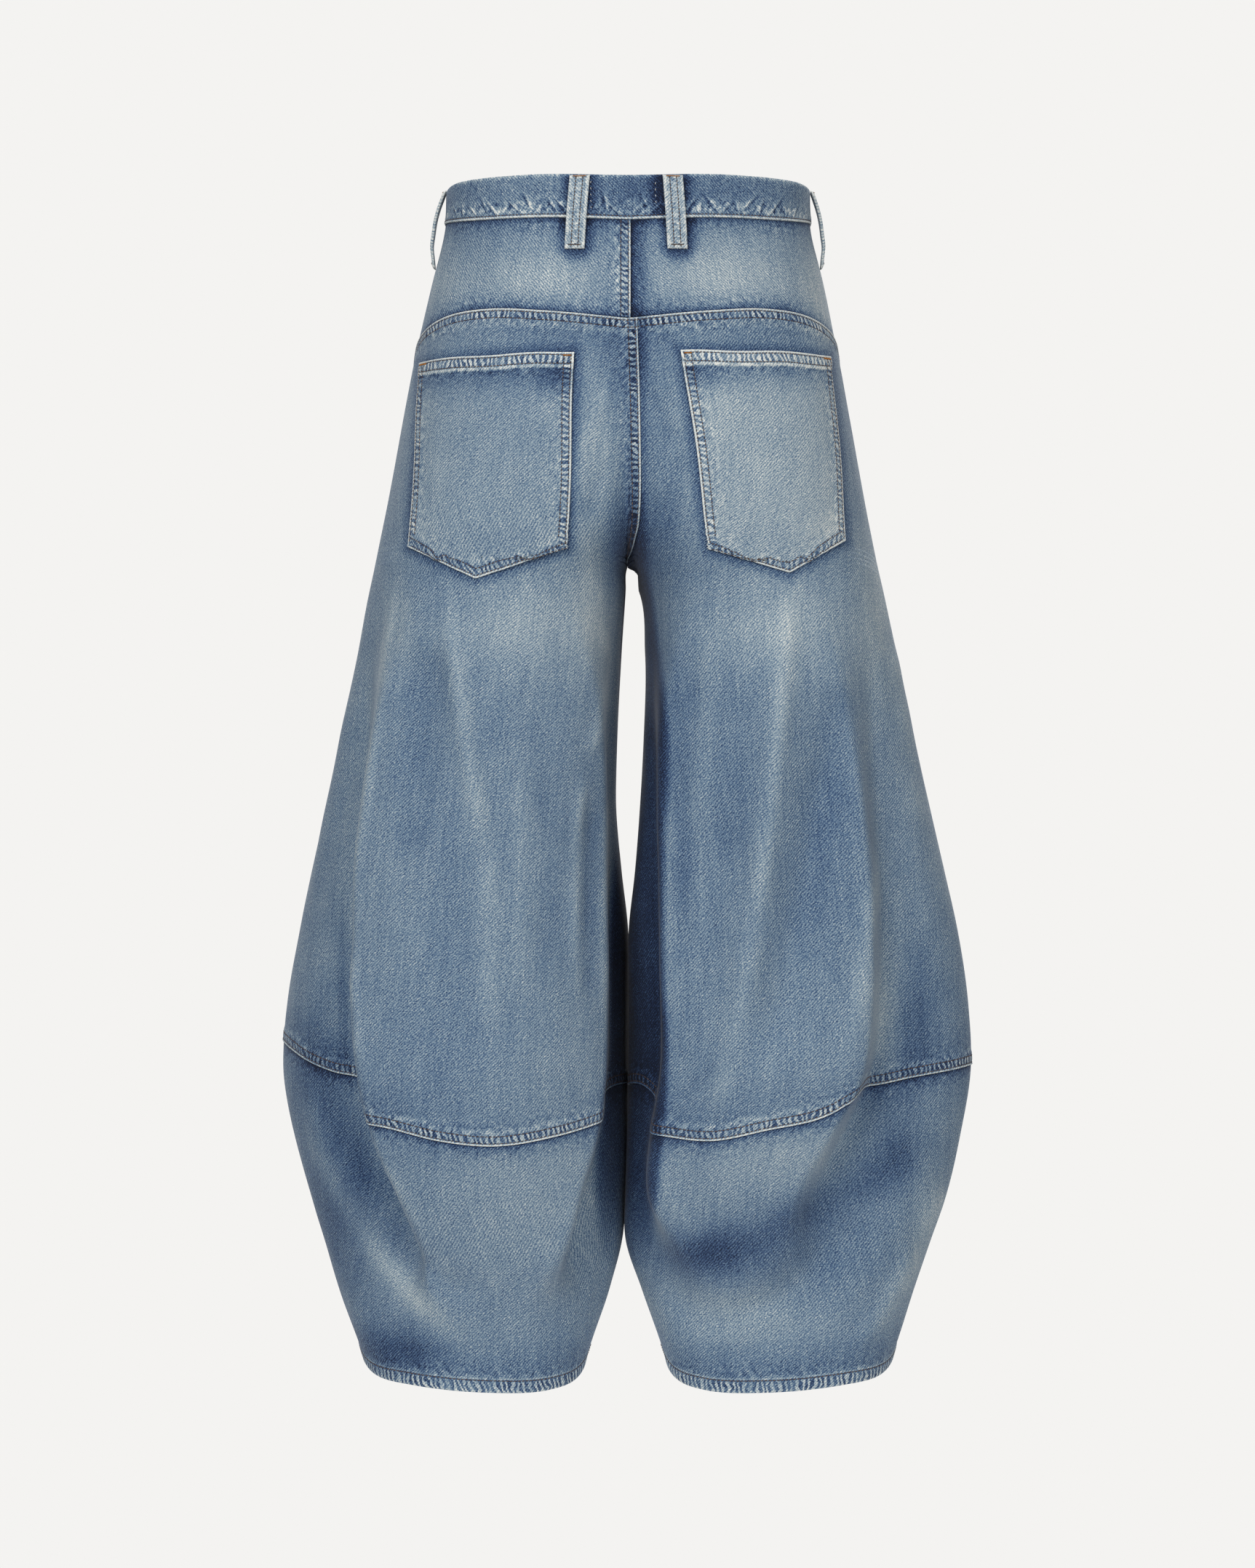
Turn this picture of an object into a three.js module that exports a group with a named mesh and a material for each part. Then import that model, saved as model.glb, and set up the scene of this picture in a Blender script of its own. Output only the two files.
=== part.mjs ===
// Barrel leg jeans in the form they have when worn, with nothing inside: an open waist, two hollow legs
// that swell to a curved seam below the knee, and narrow hems. Millimetres, +Z up, front towards -Y,
// wearer's left towards +X. The origin is the centre of the waistband, where the waist holds the garment.
import * as THREE from "three";

// Driving dimensions
const CLOTH = 2; // wall of one layer of heavy denim
const SEAM_GAP = 0.3; // clearance between two pieces at a seam
const KNEE_EASE = 0.25; // more clearance under the knee seam, which slants and bends the most
const CROTCH_Z = -292;
const BAND_TOP = 19;
const BAND_WALL = 3.2;
const BAND_PROUD = 1.2; // how far the waistband stands out of the cloth below it
const BAND_OVERLAP = 38; // the button end lies over the other end by this much
const SQUARENESS = 2.2; // exponent of the rounded sections, 2 is an ellipse
const LAP_WIDTH = 12; // a felled seam or a turned hem shows as a band this wide
const LAP_SLOPE = 1.4;
const LAP_RISE = 1;
const FLY_WIDTH = 38;
const FLY_RISE = 0.7;
const FLY_END_Z = -180;
const HEM_RISE = 1;
const POCKET_GAP = 0.7;
const POCKET_WALL = 1.8;
const LOOP_WIDTH = 16;
const LOOP_WALL = 2.4;

const BLUE = 0x6d8cab;
const DEEP_BLUE = 0x55779c;
const PALE_BLUE = 0x8fa9bf;
const COPPER = 0x9a6b45;

// A row of each table becomes an object with the named columns.
function table(columns, rows) {
  return rows.map((row) => Object.fromEntries(columns.map((name, i) => [name, row[i]])));
}

// Horizontal sections of one leg, carried up through the seat to the waist. out and in are the widest
// and innermost distances from the middle plane, mid is where the section is deepest, side is the depth
// of its widest point, and back and front are its deepest points. Above the crotch the middle plane
// cuts the section off, and in only shapes the curve of the rise.
const SECTIONS = {
  left: table(["z", "out", "mid", "in", "side", "back", "front"], [
    [30, 147, 0, -148, 0, 97, -97],
    [-18, 151, 0, -152, 0, 101, -101],
    [-56, 160.5, 3, -150, 0, 106, -105],
    [-110, 173, 15, -128, 0, 114, -107],
    [-182, 187, 41, -88, 0, 122, -105],
    [-254, 200, 66, -34, 2, 123, -101],
    [-292, 207.5, 80, 0.5, 4, 119, -99],
    [-310, 211.5, 87, 1.5, 3, 116, -99],
    [-362, 222, 100, 4.8, 0, 110, -100],
    [-434, 237.5, 113, 8.4, -6, 105, -102],
    [-488, 249, 121, 9.4, -12, 102, -105],
    [-542, 261.5, 129, 4.8, -18, 100, -108],
    [-588, 271, 135, -0.4, -20, 99, -111],
    [-650, 281.5, 140, -1.2, -20, 98, -113],
    [-704, 284.5, 142, -0.8, -18, 98, -114],
    [-760, 275, 141, 0, -14, 97, -112],
    [-800, 264, 138, 2.2, -10, 95, -106],
    [-845, 250, 134, 4.2, -6, 90, -96],
    [-885, 238, 130, 14.7, -2, 83, -84],
    [-944, 216, 125, 34, 0, 73, -68],
    [-970, 207, 123, 40, 0, 70, -64],
  ]),
  right: table(["z", "out", "mid", "in", "side", "back", "front"], [
    [30, 149, 0, -148, 0, 97, -97],
    [-18, 151.5, 0, -152, 0, 101, -101],
    [-56, 161, 3, -150, 0, 106, -105],
    [-110, 172, 15, -128, 0, 114, -107],
    [-182, 185.5, 41, -88, 0, 122, -105],
    [-254, 198.5, 66, -34, 2, 123, -101],
    [-292, 206, 80, 0.5, 4, 119, -99],
    [-310, 210, 88, 9, 4, 116, -99],
    [-362, 221, 102, 14.4, 4, 110, -100],
    [-434, 236, 115, 13.2, 8, 105, -101],
    [-488, 248, 122, 10.2, 14, 102, -103],
    [-542, 260, 129, 6, 20, 100, -106],
    [-588, 270, 135, 1, 23, 99, -109],
    [-650, 279, 139, 0.8, 24, 98, -111],
    [-704, 281, 141, 0.4, 22, 98, -112],
    [-760, 272, 140, -0.6, 18, 97, -110],
    [-800, 263.5, 137, -1.6, 14, 95, -104],
    [-845, 249, 133, -1.5, 8, 90, -95],
    [-885, 236, 129, 11.5, 2, 83, -83],
    [-944, 217, 125, 31.5, 0, 73, -68],
    [-970, 208, 123, 38, 0, 70, -64],
  ]),
};

// Fullness that stands out of a section as one broad fold with steep flanks, between inner and outer.
const FULLNESS = {
  left_back: table(["z", "inner", "outer", "soft", "depth"], [
    [-300, 24, 188, 60, 0],
    [-380, 20, 203, 34, 13],
    [-470, 18, 215, 24, 27],
    [-560, 17, 222, 19, 40],
    [-640, 17, 223, 16, 50],
    [-710, 18, 216, 15, 57],
    [-750, 24, 206, 18, 55],
    [-800, 38, 188, 30, 42],
    [-850, 52, 172, 44, 22],
    [-900, 62, 160, 56, 5],
    [-930, 66, 155, 60, 0],
  ]),
  right_back: table(["z", "inner", "outer", "soft", "depth"], [
    [-300, 30, 172, 60, 0],
    [-380, 28, 184, 36, 13],
    [-470, 29, 193, 26, 26],
    [-560, 30, 199, 20, 38],
    [-640, 31, 200, 17, 47],
    [-700, 30, 192, 18, 52],
    [-745, 25, 172, 26, 48],
    [-790, 24, 150, 38, 34],
    [-840, 34, 140, 46, 14],
    [-890, 40, 130, 50, 0],
  ]),
  left_front: table(["z", "inner", "outer", "soft", "depth"], [
    [-380, 34, 190, 60, 0],
    [-480, 30, 205, 44, 12],
    [-580, 28, 216, 34, 24],
    [-680, 28, 214, 28, 34],
    [-730, 34, 200, 34, 32],
    [-790, 46, 180, 44, 18],
    [-850, 60, 165, 50, 0],
  ]),
  right_front: table(["z", "inner", "outer", "soft", "depth"], [
    [-370, 38, 182, 60, 0],
    [-480, 33, 198, 44, 13],
    [-580, 30, 208, 34, 26],
    [-680, 30, 204, 28, 35],
    [-730, 36, 190, 34, 32],
    [-790, 48, 170, 44, 17],
    [-850, 60, 160, 50, 0],
  ]),
};

// The largest soft folds, each along a bowed line through three points (distance from the middle plane
// and height). lift is out of the cloth, and less than zero for a trough.
const FOLDS = {
  left_back: table(["x1", "z1", "x2", "z2", "x3", "z3", "width", "lift"], [
    [147, -320, 132, -420, 112, -530, 9, 3],
    [172, -350, 160, -430, 168, -520, 18, -3.5],
    [258, -715, 214, -812, 96, -935, 13, 7],
    [222, -740, 172, -835, 118, -890, 15, -7],
    [236, -850, 205, -905, 160, -940, 15, -5],
  ]),
  right_back: table(["x1", "z1", "x2", "z2", "x3", "z3", "width", "lift"], [
    [124, -318, 110, -500, 78, -712, 16, 7],
    [166, -385, 140, -560, 110, -706, 20, -10],
    [190, -420, 193, -590, 166, -724, 15, 5],
    [14, -815, 86, -905, 226, -768, 23, -15],
    [232, -832, 214, -890, 176, -932, 9, 5],
  ]),
  left_front: table(["x1", "z1", "x2", "z2", "x3", "z3", "width", "lift"], [
    [120, -250, 118, -420, 96, -620, 16, 5],
    [168, -330, 160, -480, 148, -650, 20, -7],
    [30, -800, 110, -885, 225, -800, 22, -10],
  ]),
  right_front: table(["x1", "z1", "x2", "z2", "x3", "z3", "width", "lift"], [
    [118, -240, 126, -420, 118, -640, 16, 5],
    [170, -340, 164, -470, 166, -640, 18, -6],
    [60, -420, 62, -540, 84, -690, 18, -6],
    [226, -780, 150, -885, 60, -915, 20, -9],
  ]),
};

// Seam lines round the leg: height at a share of the way from the middle, rise or inseam to the outseam.
const WAIST_SEAM = {
  back: table(["across", "z"], [[0, -17.5], [0.3, -14.8], [0.65, -13.2], [1, -8.5]]),
  front: table(["across", "z"], [[0, -18], [0.5, -15], [1, -8.5]]),
};
const YOKE_SEAM = table(["across", "z"], [[0, -99], [0.3, -91], [0.5, -87.5], [0.7, -91], [0.86, -101], [1, -114]]);
const KNEE_SEAM = {
  left_back: table(["across", "z"], [
    [0, -716], [0.13, -719], [0.26, -741], [0.38, -752], [0.5, -757],
    [0.62, -753], [0.7, -738], [0.79, -712], [0.9, -697], [1, -683],
  ]),
  right_back: table(["across", "z"], [
    [0, -716], [0.15, -720], [0.28, -744], [0.38, -752], [0.5, -747],
    [0.6, -737], [0.7, -715], [0.78, -708], [0.9, -706], [1, -700],
  ]),
  left_front: table(["across", "z"], [[0, -716], [0.25, -728], [0.5, -738], [0.75, -718], [1, -683]]),
  right_front: table(["across", "z"], [[0, -716], [0.25, -726], [0.5, -737], [0.75, -724], [1, -700]]),
};
const HEM = {
  back: table(["across", "z"], [[0, -943], [0.25, -956], [0.5, -962], [0.75, -956], [1, -942]]),
  front: table(["across", "z"], [[0, -943], [0.25, -948], [0.5, -951], [0.75, -948], [1, -942]]),
};

// Corners of the two patch pockets, as distances from the middle plane and heights.
const POCKETS = {
  left: { topIn: [42, -125], topOut: [167, -127], lowIn: [48, -281], lowOut: [175, -279], tip: [121, -306] },
  right: { topIn: [43, -124], topOut: [164, -122], lowIn: [65, -282], lowOut: [175, -274], tip: [129, -301] },
};

const LEG_SIGN = { left: 1, right: -1 };

function smooth(share) {
  const t = Math.min(1, Math.max(0, share));
  return t * t * (3 - 2 * t);
}

// A smooth curve through the rows of a table: the value of a column where the key column is at.
function through(rows, key, column, at) {
  const last = rows.length - 1;
  const turn = rows[last][key] < rows[0][key] ? -1 : 1;
  const x = (i) => rows[i][key] * turn;
  const y = (i) => rows[i][column];
  const want = Math.min(x(last), Math.max(x(0), at * turn));
  let i = 0;
  while (i < last - 1 && want > x(i + 1)) i += 1;
  const step = (k) => (y(k + 1) - y(k)) / (x(k + 1) - x(k));
  const slope = (k) => {
    if (k === 0) return step(0);
    if (k === last) return step(last - 1);
    const before = x(k) - x(k - 1);
    const after = x(k + 1) - x(k);
    return (step(k - 1) * after + step(k) * before) / (before + after);
  };
  const h = x(i + 1) - x(i);
  const t = (want - x(i)) / h;
  const t2 = t * t;
  const t3 = t2 * t;
  return (
    (2 * t3 - 3 * t2 + 1) * y(i) +
    (t3 - 2 * t2 + t) * h * slope(i) +
    (3 * t2 - 2 * t3) * y(i + 1) +
    (t3 - t2) * h * slope(i + 1)
  );
}

function row(rows, z) {
  const columns = Object.keys(rows[0]).slice(1);
  return Object.fromEntries(columns.map((name) => [name, through(rows, "z", name, z)]));
}

// How far the broad fold stands out at a place. It is a little lower at its edges than in its middle.
const EDGE_DEPTH = 0.84;
function fullness(size, x) {
  const rise = smooth((x - size.inner) / size.soft + 0.5);
  const fall = smooth((size.outer - x) / size.soft + 0.5);
  const crown = Math.sin((Math.PI * (x - size.inner)) / (size.outer - size.inner));
  return Math.max(0, size.depth) * rise * fall * (EDGE_DEPTH + (1 - EDGE_DEPTH) * crown);
}

const FOLD_STEPS = 10;
const FOLD_END = 0.25; // share of a soft fold's length over which it dies out at each end
const foldLines = Object.fromEntries(
  Object.entries(FOLDS).map(([name, rows]) => [
    name,
    rows.map((fold) => {
      const bow = new THREE.QuadraticBezierCurve(
        new THREE.Vector2(fold.x1, fold.z1),
        new THREE.Vector2(2 * fold.x2 - (fold.x1 + fold.x3) / 2, 2 * fold.z2 - (fold.z1 + fold.z3) / 2),
        new THREE.Vector2(fold.x3, fold.z3),
      );
      return { ...fold, line: bow.getPoints(FOLD_STEPS) };
    }),
  ]),
);

// The lift of all the soft folds at a place: a rounded ridge or trough that dies out at both ends.
function foldLift(folds, x, z) {
  let lift = 0;
  for (const fold of folds) {
    let nearest = Infinity;
    let along = 0;
    for (let i = 0; i < FOLD_STEPS; i += 1) {
      const a = fold.line[i];
      const b = fold.line[i + 1];
      const dx = b.x - a.x;
      const dz = b.y - a.y;
      const t = Math.min(1, Math.max(0, ((x - a.x) * dx + (z - a.y) * dz) / (dx * dx + dz * dz)));
      const away = Math.hypot(x - a.x - t * dx, z - a.y - t * dz);
      if (away < nearest) {
        nearest = away;
        along = (i + t) / FOLD_STEPS;
      }
    }
    const ends = smooth(along / FOLD_END) * smooth((1 - along) / FOLD_END);
    lift += fold.lift * ends * Math.exp(-((nearest / fold.width) ** 2));
  }
  return lift;
}

// Half a section, front or back, as a line of points from the middle plane or inseam to the outseam.
const LINE_STEPS = 120;
const SPLIT_X = 60;
const known = new Map();
function halfSection(leg, face, z) {
  const key = `${leg} ${face} ${z}`;
  if (!known.has(key)) known.set(key, sectionAt(leg, face, z));
  return known.get(key);
}

function sectionAt(leg, face, z) {
  const size = row(SECTIONS[leg], z);
  const full = row(FULLNESS[`${leg}_${face}`], z);
  const folds = foldLines[`${leg}_${face}`];
  const depth = face === "back" ? size.back - size.side : size.side - size.front;
  const way = face === "back" ? 1 : -1;
  const power = 2 / SQUARENESS;
  const inner = size.mid - size.in;
  const cut = Math.max(0, size.mid - (z > CROTCH_Z ? SEAM_GAP / 2 : 0)) / inner;
  const start = z > CROTCH_Z ? Math.acos(Math.min(1, cut ** (1 / power))) : 0;
  const points = [];
  for (let i = 0; i <= LINE_STEPS; i += 1) {
    const turn = start + ((Math.PI - start) * i) / LINE_STEPS;
    const reach = Math.abs(Math.cos(turn)) ** power;
    const x = turn < Math.PI / 2 ? size.mid - inner * reach : size.mid + (size.out - size.mid) * reach;
    const swell = Math.max(0, Math.sin(turn)) ** power;
    const y = size.side + way * (depth * swell + fullness(full, x) + foldLift(folds, x, z) * swell);
    points.push([LEG_SIGN[leg] * x, y]);
  }
  const lengths = [0];
  for (let i = 1; i < points.length; i += 1) {
    const step = Math.hypot(points[i][0] - points[i - 1][0], points[i][1] - points[i - 1][1]);
    lengths.push(lengths[i - 1] + step);
  }
  const split = Math.max(SPLIT_X, size.mid);
  const beyond = points.findIndex(([x]) => LEG_SIGN[leg] * x >= split);
  return { points, lengths, total: lengths[LINE_STEPS], crown: lengths[beyond] };
}

function pointAlong(section, distance) {
  const { points, lengths } = section;
  let i = 1;
  while (i < LINE_STEPS && lengths[i] < distance) i += 1;
  const t = (distance - lengths[i - 1]) / (lengths[i] - lengths[i - 1]);
  return [0, 1].map((k) => points[i - 1][k] + t * (points[i][k] - points[i - 1][k]));
}

// The outer face of the cloth and its outward normal, where the share across and the height are given.
function cloth(leg, face, across, z) {
  const side = 0.012;
  const rise = 2;
  const at = (share, height) => {
    const section = halfSection(leg, face, height);
    const [x, y] = pointAlong(section, share * section.total);
    return new THREE.Vector3(x, y, height);
  };
  const point = at(across, z);
  const low = Math.max(0, across - side);
  const alongRow = at(Math.min(1, low + 2 * side), z).sub(at(Math.min(1 - 2 * side, low), z));
  const up = at(across, z + rise).sub(at(across, z - rise));
  if (z > CROTCH_Z && z - rise < CROTCH_Z) up.copy(at(across, z + rise).sub(point));
  const onMiddle = across < side && z > CROTCH_Z;
  if (onMiddle) {
    alongRow.set(alongRow.x, 0, 0);
    up.x = 0;
  } else if (across < side || across > 1 - side) {
    alongRow.set(0, alongRow.y, 0);
  }
  const normal = alongRow.cross(up).normalize();
  const outward = face === "back" ? 1 : -1;
  if (LEG_SIGN[leg] * outward > 0) normal.negate();
  return { point, normal };
}

// A closed wall between an outer and an inner grid of points.
function wall(outer, inner) {
  const rows = outer.length;
  const columns = outer[0].length;
  const position = [...outer.flat(), ...inner.flat()].flatMap((p) => [p.x, p.y, p.z]);
  const index = [];
  const quad = (a, b, c, d) => index.push(a, b, c, a, c, d);
  const out = (r, c) => r * columns + c;
  const inn = (r, c) => rows * columns + r * columns + c;
  for (let r = 0; r < rows - 1; r += 1) {
    for (let c = 0; c < columns - 1; c += 1) {
      quad(out(r, c), out(r + 1, c), out(r + 1, c + 1), out(r, c + 1));
      quad(inn(r, c), inn(r, c + 1), inn(r + 1, c + 1), inn(r + 1, c));
    }
  }
  for (let c = 0; c < columns - 1; c += 1) {
    quad(out(0, c), out(0, c + 1), inn(0, c + 1), inn(0, c));
    quad(out(rows - 1, c + 1), out(rows - 1, c), inn(rows - 1, c), inn(rows - 1, c + 1));
  }
  for (let r = 0; r < rows - 1; r += 1) {
    quad(out(r + 1, 0), out(r, 0), inn(r, 0), inn(r + 1, 0));
    quad(out(r, columns - 1), out(r + 1, columns - 1), inn(r + 1, columns - 1), inn(r, columns - 1));
  }
  const geometry = new THREE.BufferGeometry();
  geometry.setAttribute("position", new THREE.Float32BufferAttribute(position, 3));
  geometry.setIndex(index);
  return turnedOut(geometry);
}

// Six times a closed mesh's volume is the sum of its triangles' triple products. Faces that point in are turned.
function turnedOut(geometry) {
  const at = geometry.getAttribute("position");
  const index = geometry.getIndex();
  const [a, b, c] = [new THREE.Vector3(), new THREE.Vector3(), new THREE.Vector3()];
  let volume = 0;
  for (let i = 0; i < index.count; i += 3) {
    [a, b, c].forEach((p, k) => p.fromBufferAttribute(at, index.getX(i + k)));
    volume += a.dot(b.cross(c));
  }
  if (volume < 0) {
    for (let i = 0; i < index.count; i += 3) {
      const kept = index.getX(i + 1);
      index.setX(i + 1, index.getX(i + 2));
      index.setX(i + 2, kept);
    }
  }
  geometry.computeVertexNormals();
  return geometry;
}

// Even steps from a start to an end, both kept.
function steps(from, to, count) {
  return Array.from({ length: count + 1 }, (_, i) => from + ((to - from) * i) / count);
}

// Distances along a section to the columns of a panel: the lapped band at the middle, if any, then an
// inner stretch that lengthens at the crotch, then an outer stretch up to the outseam.
function columnsOf(section, { inner, outer, lap }) {
  const from = lap ? LAP_WIDTH : SEAM_GAP / 2;
  const band = lap ? [SEAM_GAP / 2, LAP_WIDTH - LAP_SLOPE] : [];
  const crown = section.crown;
  const near = steps(from, crown, inner).slice(0, -1);
  return [...band, ...near, ...steps(crown, section.total - SEAM_GAP / 2, outer)];
}

// Drops from the top seam to the rows of a panel, at the given shares of its length.
function rowsOf(length, shares, laps) {
  const from = laps.top ? LAP_WIDTH : SEAM_GAP / 2;
  const to = length - (laps.bottom ? LAP_WIDTH : SEAM_GAP / 2);
  const between = shares.map((share) => share * length).map((mm) => Math.min(to - 2, Math.max(from + 2, mm)));
  return [
    ...(laps.top ? [SEAM_GAP / 2, LAP_WIDTH - LAP_SLOPE] : []),
    from,
    ...between,
    to,
    ...(laps.bottom ? [length - LAP_WIDTH + LAP_SLOPE, length - SEAM_GAP / 2] : []),
  ];
}

const model = new THREE.Group();

function piece(name, geometry, colour, roughness = 0.9, metalness = 0) {
  const material = new THREE.MeshStandardMaterial({ color: colour, roughness, metalness });
  const mesh = new THREE.Mesh(geometry, material);
  mesh.name = name;
  model.add(mesh);
}

// A cloth panel between two seam lines, from the middle or inseam to the outseam. levels are the
// heights of its rows where it meets the middle or the inseam.
function panel({ name, leg, face, top, bottom, columns, levels, laps = {}, rise = LAP_RISE, colour }) {
  const shareAt = (c, z) => {
    const section = halfSection(leg, face, z);
    return columnsOf(section, columns)[c] / section.total;
  };
  // Where a column meets a seam line depends on the section there, so the height is found in a few turns.
  const meets = (seam, c) => {
    let z = seam(0.5);
    for (let turn = 0; turn < 6; turn += 1) z = seam(shareAt(c, z));
    return z;
  };
  const shares = levels.map((z) => (top(0) - z) / (top(0) - bottom(0)));
  const columnCount = columnsOf(halfSection(leg, face, top(0)), columns).length;
  const outer = [];
  const inner = [];
  for (let c = 0; c < columnCount; c += 1) {
    const upper = meets(top, c);
    rowsOf(upper - meets(bottom, c), shares, laps).forEach((drop, r, all) => {
      if (c === 0) {
        outer.push([]);
        inner.push([]);
      }
      const z = upper - drop;
      const across = shareAt(c, z);
      const toMiddle = across * halfSection(leg, face, z).total;
      const { point, normal } = cloth(leg, face, across, z);
      const onLap =
        (laps.top && r < 2) || (laps.bottom && r >= all.length - 2) || (columns.lap && c < 2 && z > CROTCH_Z);
      const flattened = z > CROTCH_Z ? 1 : smooth(toMiddle / 20);
      const onFly = laps.fly && z > FLY_END_Z && toMiddle < FLY_WIDTH;
      const raise = onLap ? rise * flattened : onFly ? FLY_RISE : 0;
      const ends = [point.clone().addScaledVector(normal, raise), point.clone().addScaledVector(normal, -CLOTH)];
      if (z > CROTCH_Z) {
        ends.forEach((p) => {
          p.x = LEG_SIGN[leg] * Math.max(SEAM_GAP / 2, LEG_SIGN[leg] * p.x);
        });
      }
      outer[r].push(ends[0]);
      inner[r].push(ends[1]);
    });
  }
  piece(name, wall(outer, inner), colour);
}

const line = (rows, ease = 0) => (across) => through(rows, "across", "z", across) - ease;
const CROTCH_LEVELS = [-235, -258, -273, -283, -289, CROTCH_Z, -300, -320];
const THIGH_LEVELS = [-355, -405, -460, -520, -580, -640];

for (const leg of ["left", "right"]) {
  const lap = leg === "left";
  const backColumns = { inner: 8, outer: 13, lap };
  const frontColumns = { inner: 7, outer: 9, lap: false };
  panel({
    name: `yoke_${leg}`, leg, face: "back", colour: PALE_BLUE, columns: { inner: 6, outer: 10, lap },
    top: line(WAIST_SEAM.back), bottom: line(YOKE_SEAM), levels: [-42, -68],
  });
  panel({
    name: `back_leg_${leg}`, leg, face: "back", colour: BLUE, columns: backColumns,
    top: line(YOKE_SEAM), bottom: line(KNEE_SEAM[`${leg}_back`]),
    levels: [-140, -172, -204, ...CROTCH_LEVELS, ...THIGH_LEVELS, -680], laps: { top: true, bottom: true },
  });
  panel({
    name: `front_leg_${leg}`, leg, face: "front", colour: BLUE, columns: frontColumns,
    top: line(WAIST_SEAM.front), bottom: line(KNEE_SEAM[`${leg}_front`]),
    levels: [-75, -130, -179, -182, -210, ...CROTCH_LEVELS, ...THIGH_LEVELS, -690], laps: { bottom: true, fly: lap },
  });
  panel({
    name: `lower_back_${leg}`, leg, face: "back", colour: DEEP_BLUE, columns: backColumns,
    top: line(KNEE_SEAM[`${leg}_back`], KNEE_EASE), bottom: line(HEM.back),
    levels: [-742, -770, -798, -826, -856, -892], laps: { bottom: true }, rise: HEM_RISE,
  });
  panel({
    name: `lower_front_${leg}`, leg, face: "front", colour: DEEP_BLUE, columns: frontColumns,
    top: line(KNEE_SEAM[`${leg}_front`], KNEE_EASE), bottom: line(HEM.front),
    levels: [-742, -770, -798, -826, -856, -892], laps: { bottom: true }, rise: HEM_RISE,
  });
}

// A place on the back or front given by its distance from the middle plane and its height.
function placeAt(leg, face, x, z) {
  const { points, lengths, total } = halfSection(leg, face, z);
  let i = 1;
  while (i < LINE_STEPS && LEG_SIGN[leg] * points[i][0] < x) i += 1;
  const from = LEG_SIGN[leg] * points[i - 1][0];
  const t = (x - from) / (LEG_SIGN[leg] * points[i][0] - from);
  return cloth(leg, face, (lengths[i - 1] + t * (lengths[i] - lengths[i - 1])) / total, z);
}

// Patch pockets: five-cornered, with a turned and double-stitched top hem that stands a little higher.
const POCKET_COLUMNS = 12;
const POCKET_ROWS = 9;
const POCKET_HEM = 0.075;
const POCKET_HEM_STEP = 0.012; // share of the pocket's height in which the hem ends
const POCKET_HEM_RISE = 0.8;

for (const leg of ["left", "right"]) {
  const { topIn, topOut, lowIn, lowOut, tip } = POCKETS[leg];
  const tipShare = (tip[0] - lowIn[0]) / (lowOut[0] - lowIn[0]);
  const mix = (a, b, t) => a + (b - a) * t;
  const outer = [];
  const inner = [];
  const belowHem = POCKET_HEM + POCKET_HEM_STEP;
  const downs = [0, POCKET_HEM, belowHem, ...steps(belowHem, 1, POCKET_ROWS - 1).slice(1)];
  const acrosses = [...steps(0, tipShare, POCKET_COLUMNS / 2), ...steps(tipShare, 1, POCKET_COLUMNS / 2).slice(1)];
  downs.forEach((down, r) => {
    outer.push([]);
    inner.push([]);
    for (const u of acrosses) {
      const low =
        u < tipShare
          ? [mix(lowIn[0], tip[0], u / tipShare), mix(lowIn[1], tip[1], u / tipShare)]
          : [mix(tip[0], lowOut[0], (u - tipShare) / (1 - tipShare)), mix(tip[1], lowOut[1], (u - tipShare) / (1 - tipShare))];
      const x = mix(mix(topIn[0], topOut[0], u), low[0], down);
      const z = mix(mix(topIn[1], topOut[1], u), low[1], down);
      const { point, normal } = placeAt(leg, "back", x, z);
      const raise = r < 2 ? POCKET_HEM_RISE : 0;
      outer[r].push(point.clone().addScaledVector(normal, POCKET_GAP + POCKET_WALL + raise));
      inner[r].push(point.clone().addScaledVector(normal, POCKET_GAP));
    }
  });
  piece(`pocket_${leg}`, wall(outer, inner), PALE_BLUE);
}

// The waistband: one strip that starts behind the other end at the front, runs round the right side and
// the back, and ends at the middle of the front.
const BAND_LINE = [
  ["right", "front", 1],
  ["right", "back", -1],
  ["left", "back", 1],
  ["left", "front", -1],
];
const BAND_COLUMNS = 84;
const BAND_ROWS = [0, 0.27, 0.65, 1]; // shares of the way up from the seam to the top
const UNDER_STEP = BAND_WALL + 0.5;
const UNDER_LENGTH = 0.22; // share of a quarter in which the under end comes out to the line of the rest

// A point of the waist, where along runs from 0 to 4 over the four quarters in the strip's order, and up
// from 0 at the seam below the band to 1 at its top.
function waist(along, up) {
  const turn = ((along % 4) + 4) % 4;
  const [leg, face, way] = BAND_LINE[Math.floor(turn)];
  const share = turn - Math.floor(turn);
  const across = way > 0 ? share : 1 - share;
  const seam = line(WAIST_SEAM[face])(across) + SEAM_GAP / 2;
  return cloth(leg, face, across, seam + up * (BAND_TOP - seam));
}

const quarterLength = halfSection("left", "front", 0).total;
const underEnd = -BAND_OVERLAP / quarterLength;
const overEnd = 4 - 0.001;
const bandOuter = [];
const bandInner = [];
for (const up of BAND_ROWS) {
  const place = steps(underEnd, overEnd, BAND_COLUMNS).map((along) => {
    const { point, normal } = waist(along, up);
    const under = UNDER_STEP * (1 - smooth(along / UNDER_LENGTH));
    return { point, normal, under };
  });
  bandOuter.push(place.map((p) => p.point.clone().addScaledVector(p.normal, BAND_PROUD - p.under)));
  bandInner.push(place.map((p) => p.point.clone().addScaledVector(p.normal, BAND_PROUD - p.under - BAND_WALL)));
}
piece("waistband", wall(bandOuter, bandInner), PALE_BLUE);

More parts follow.
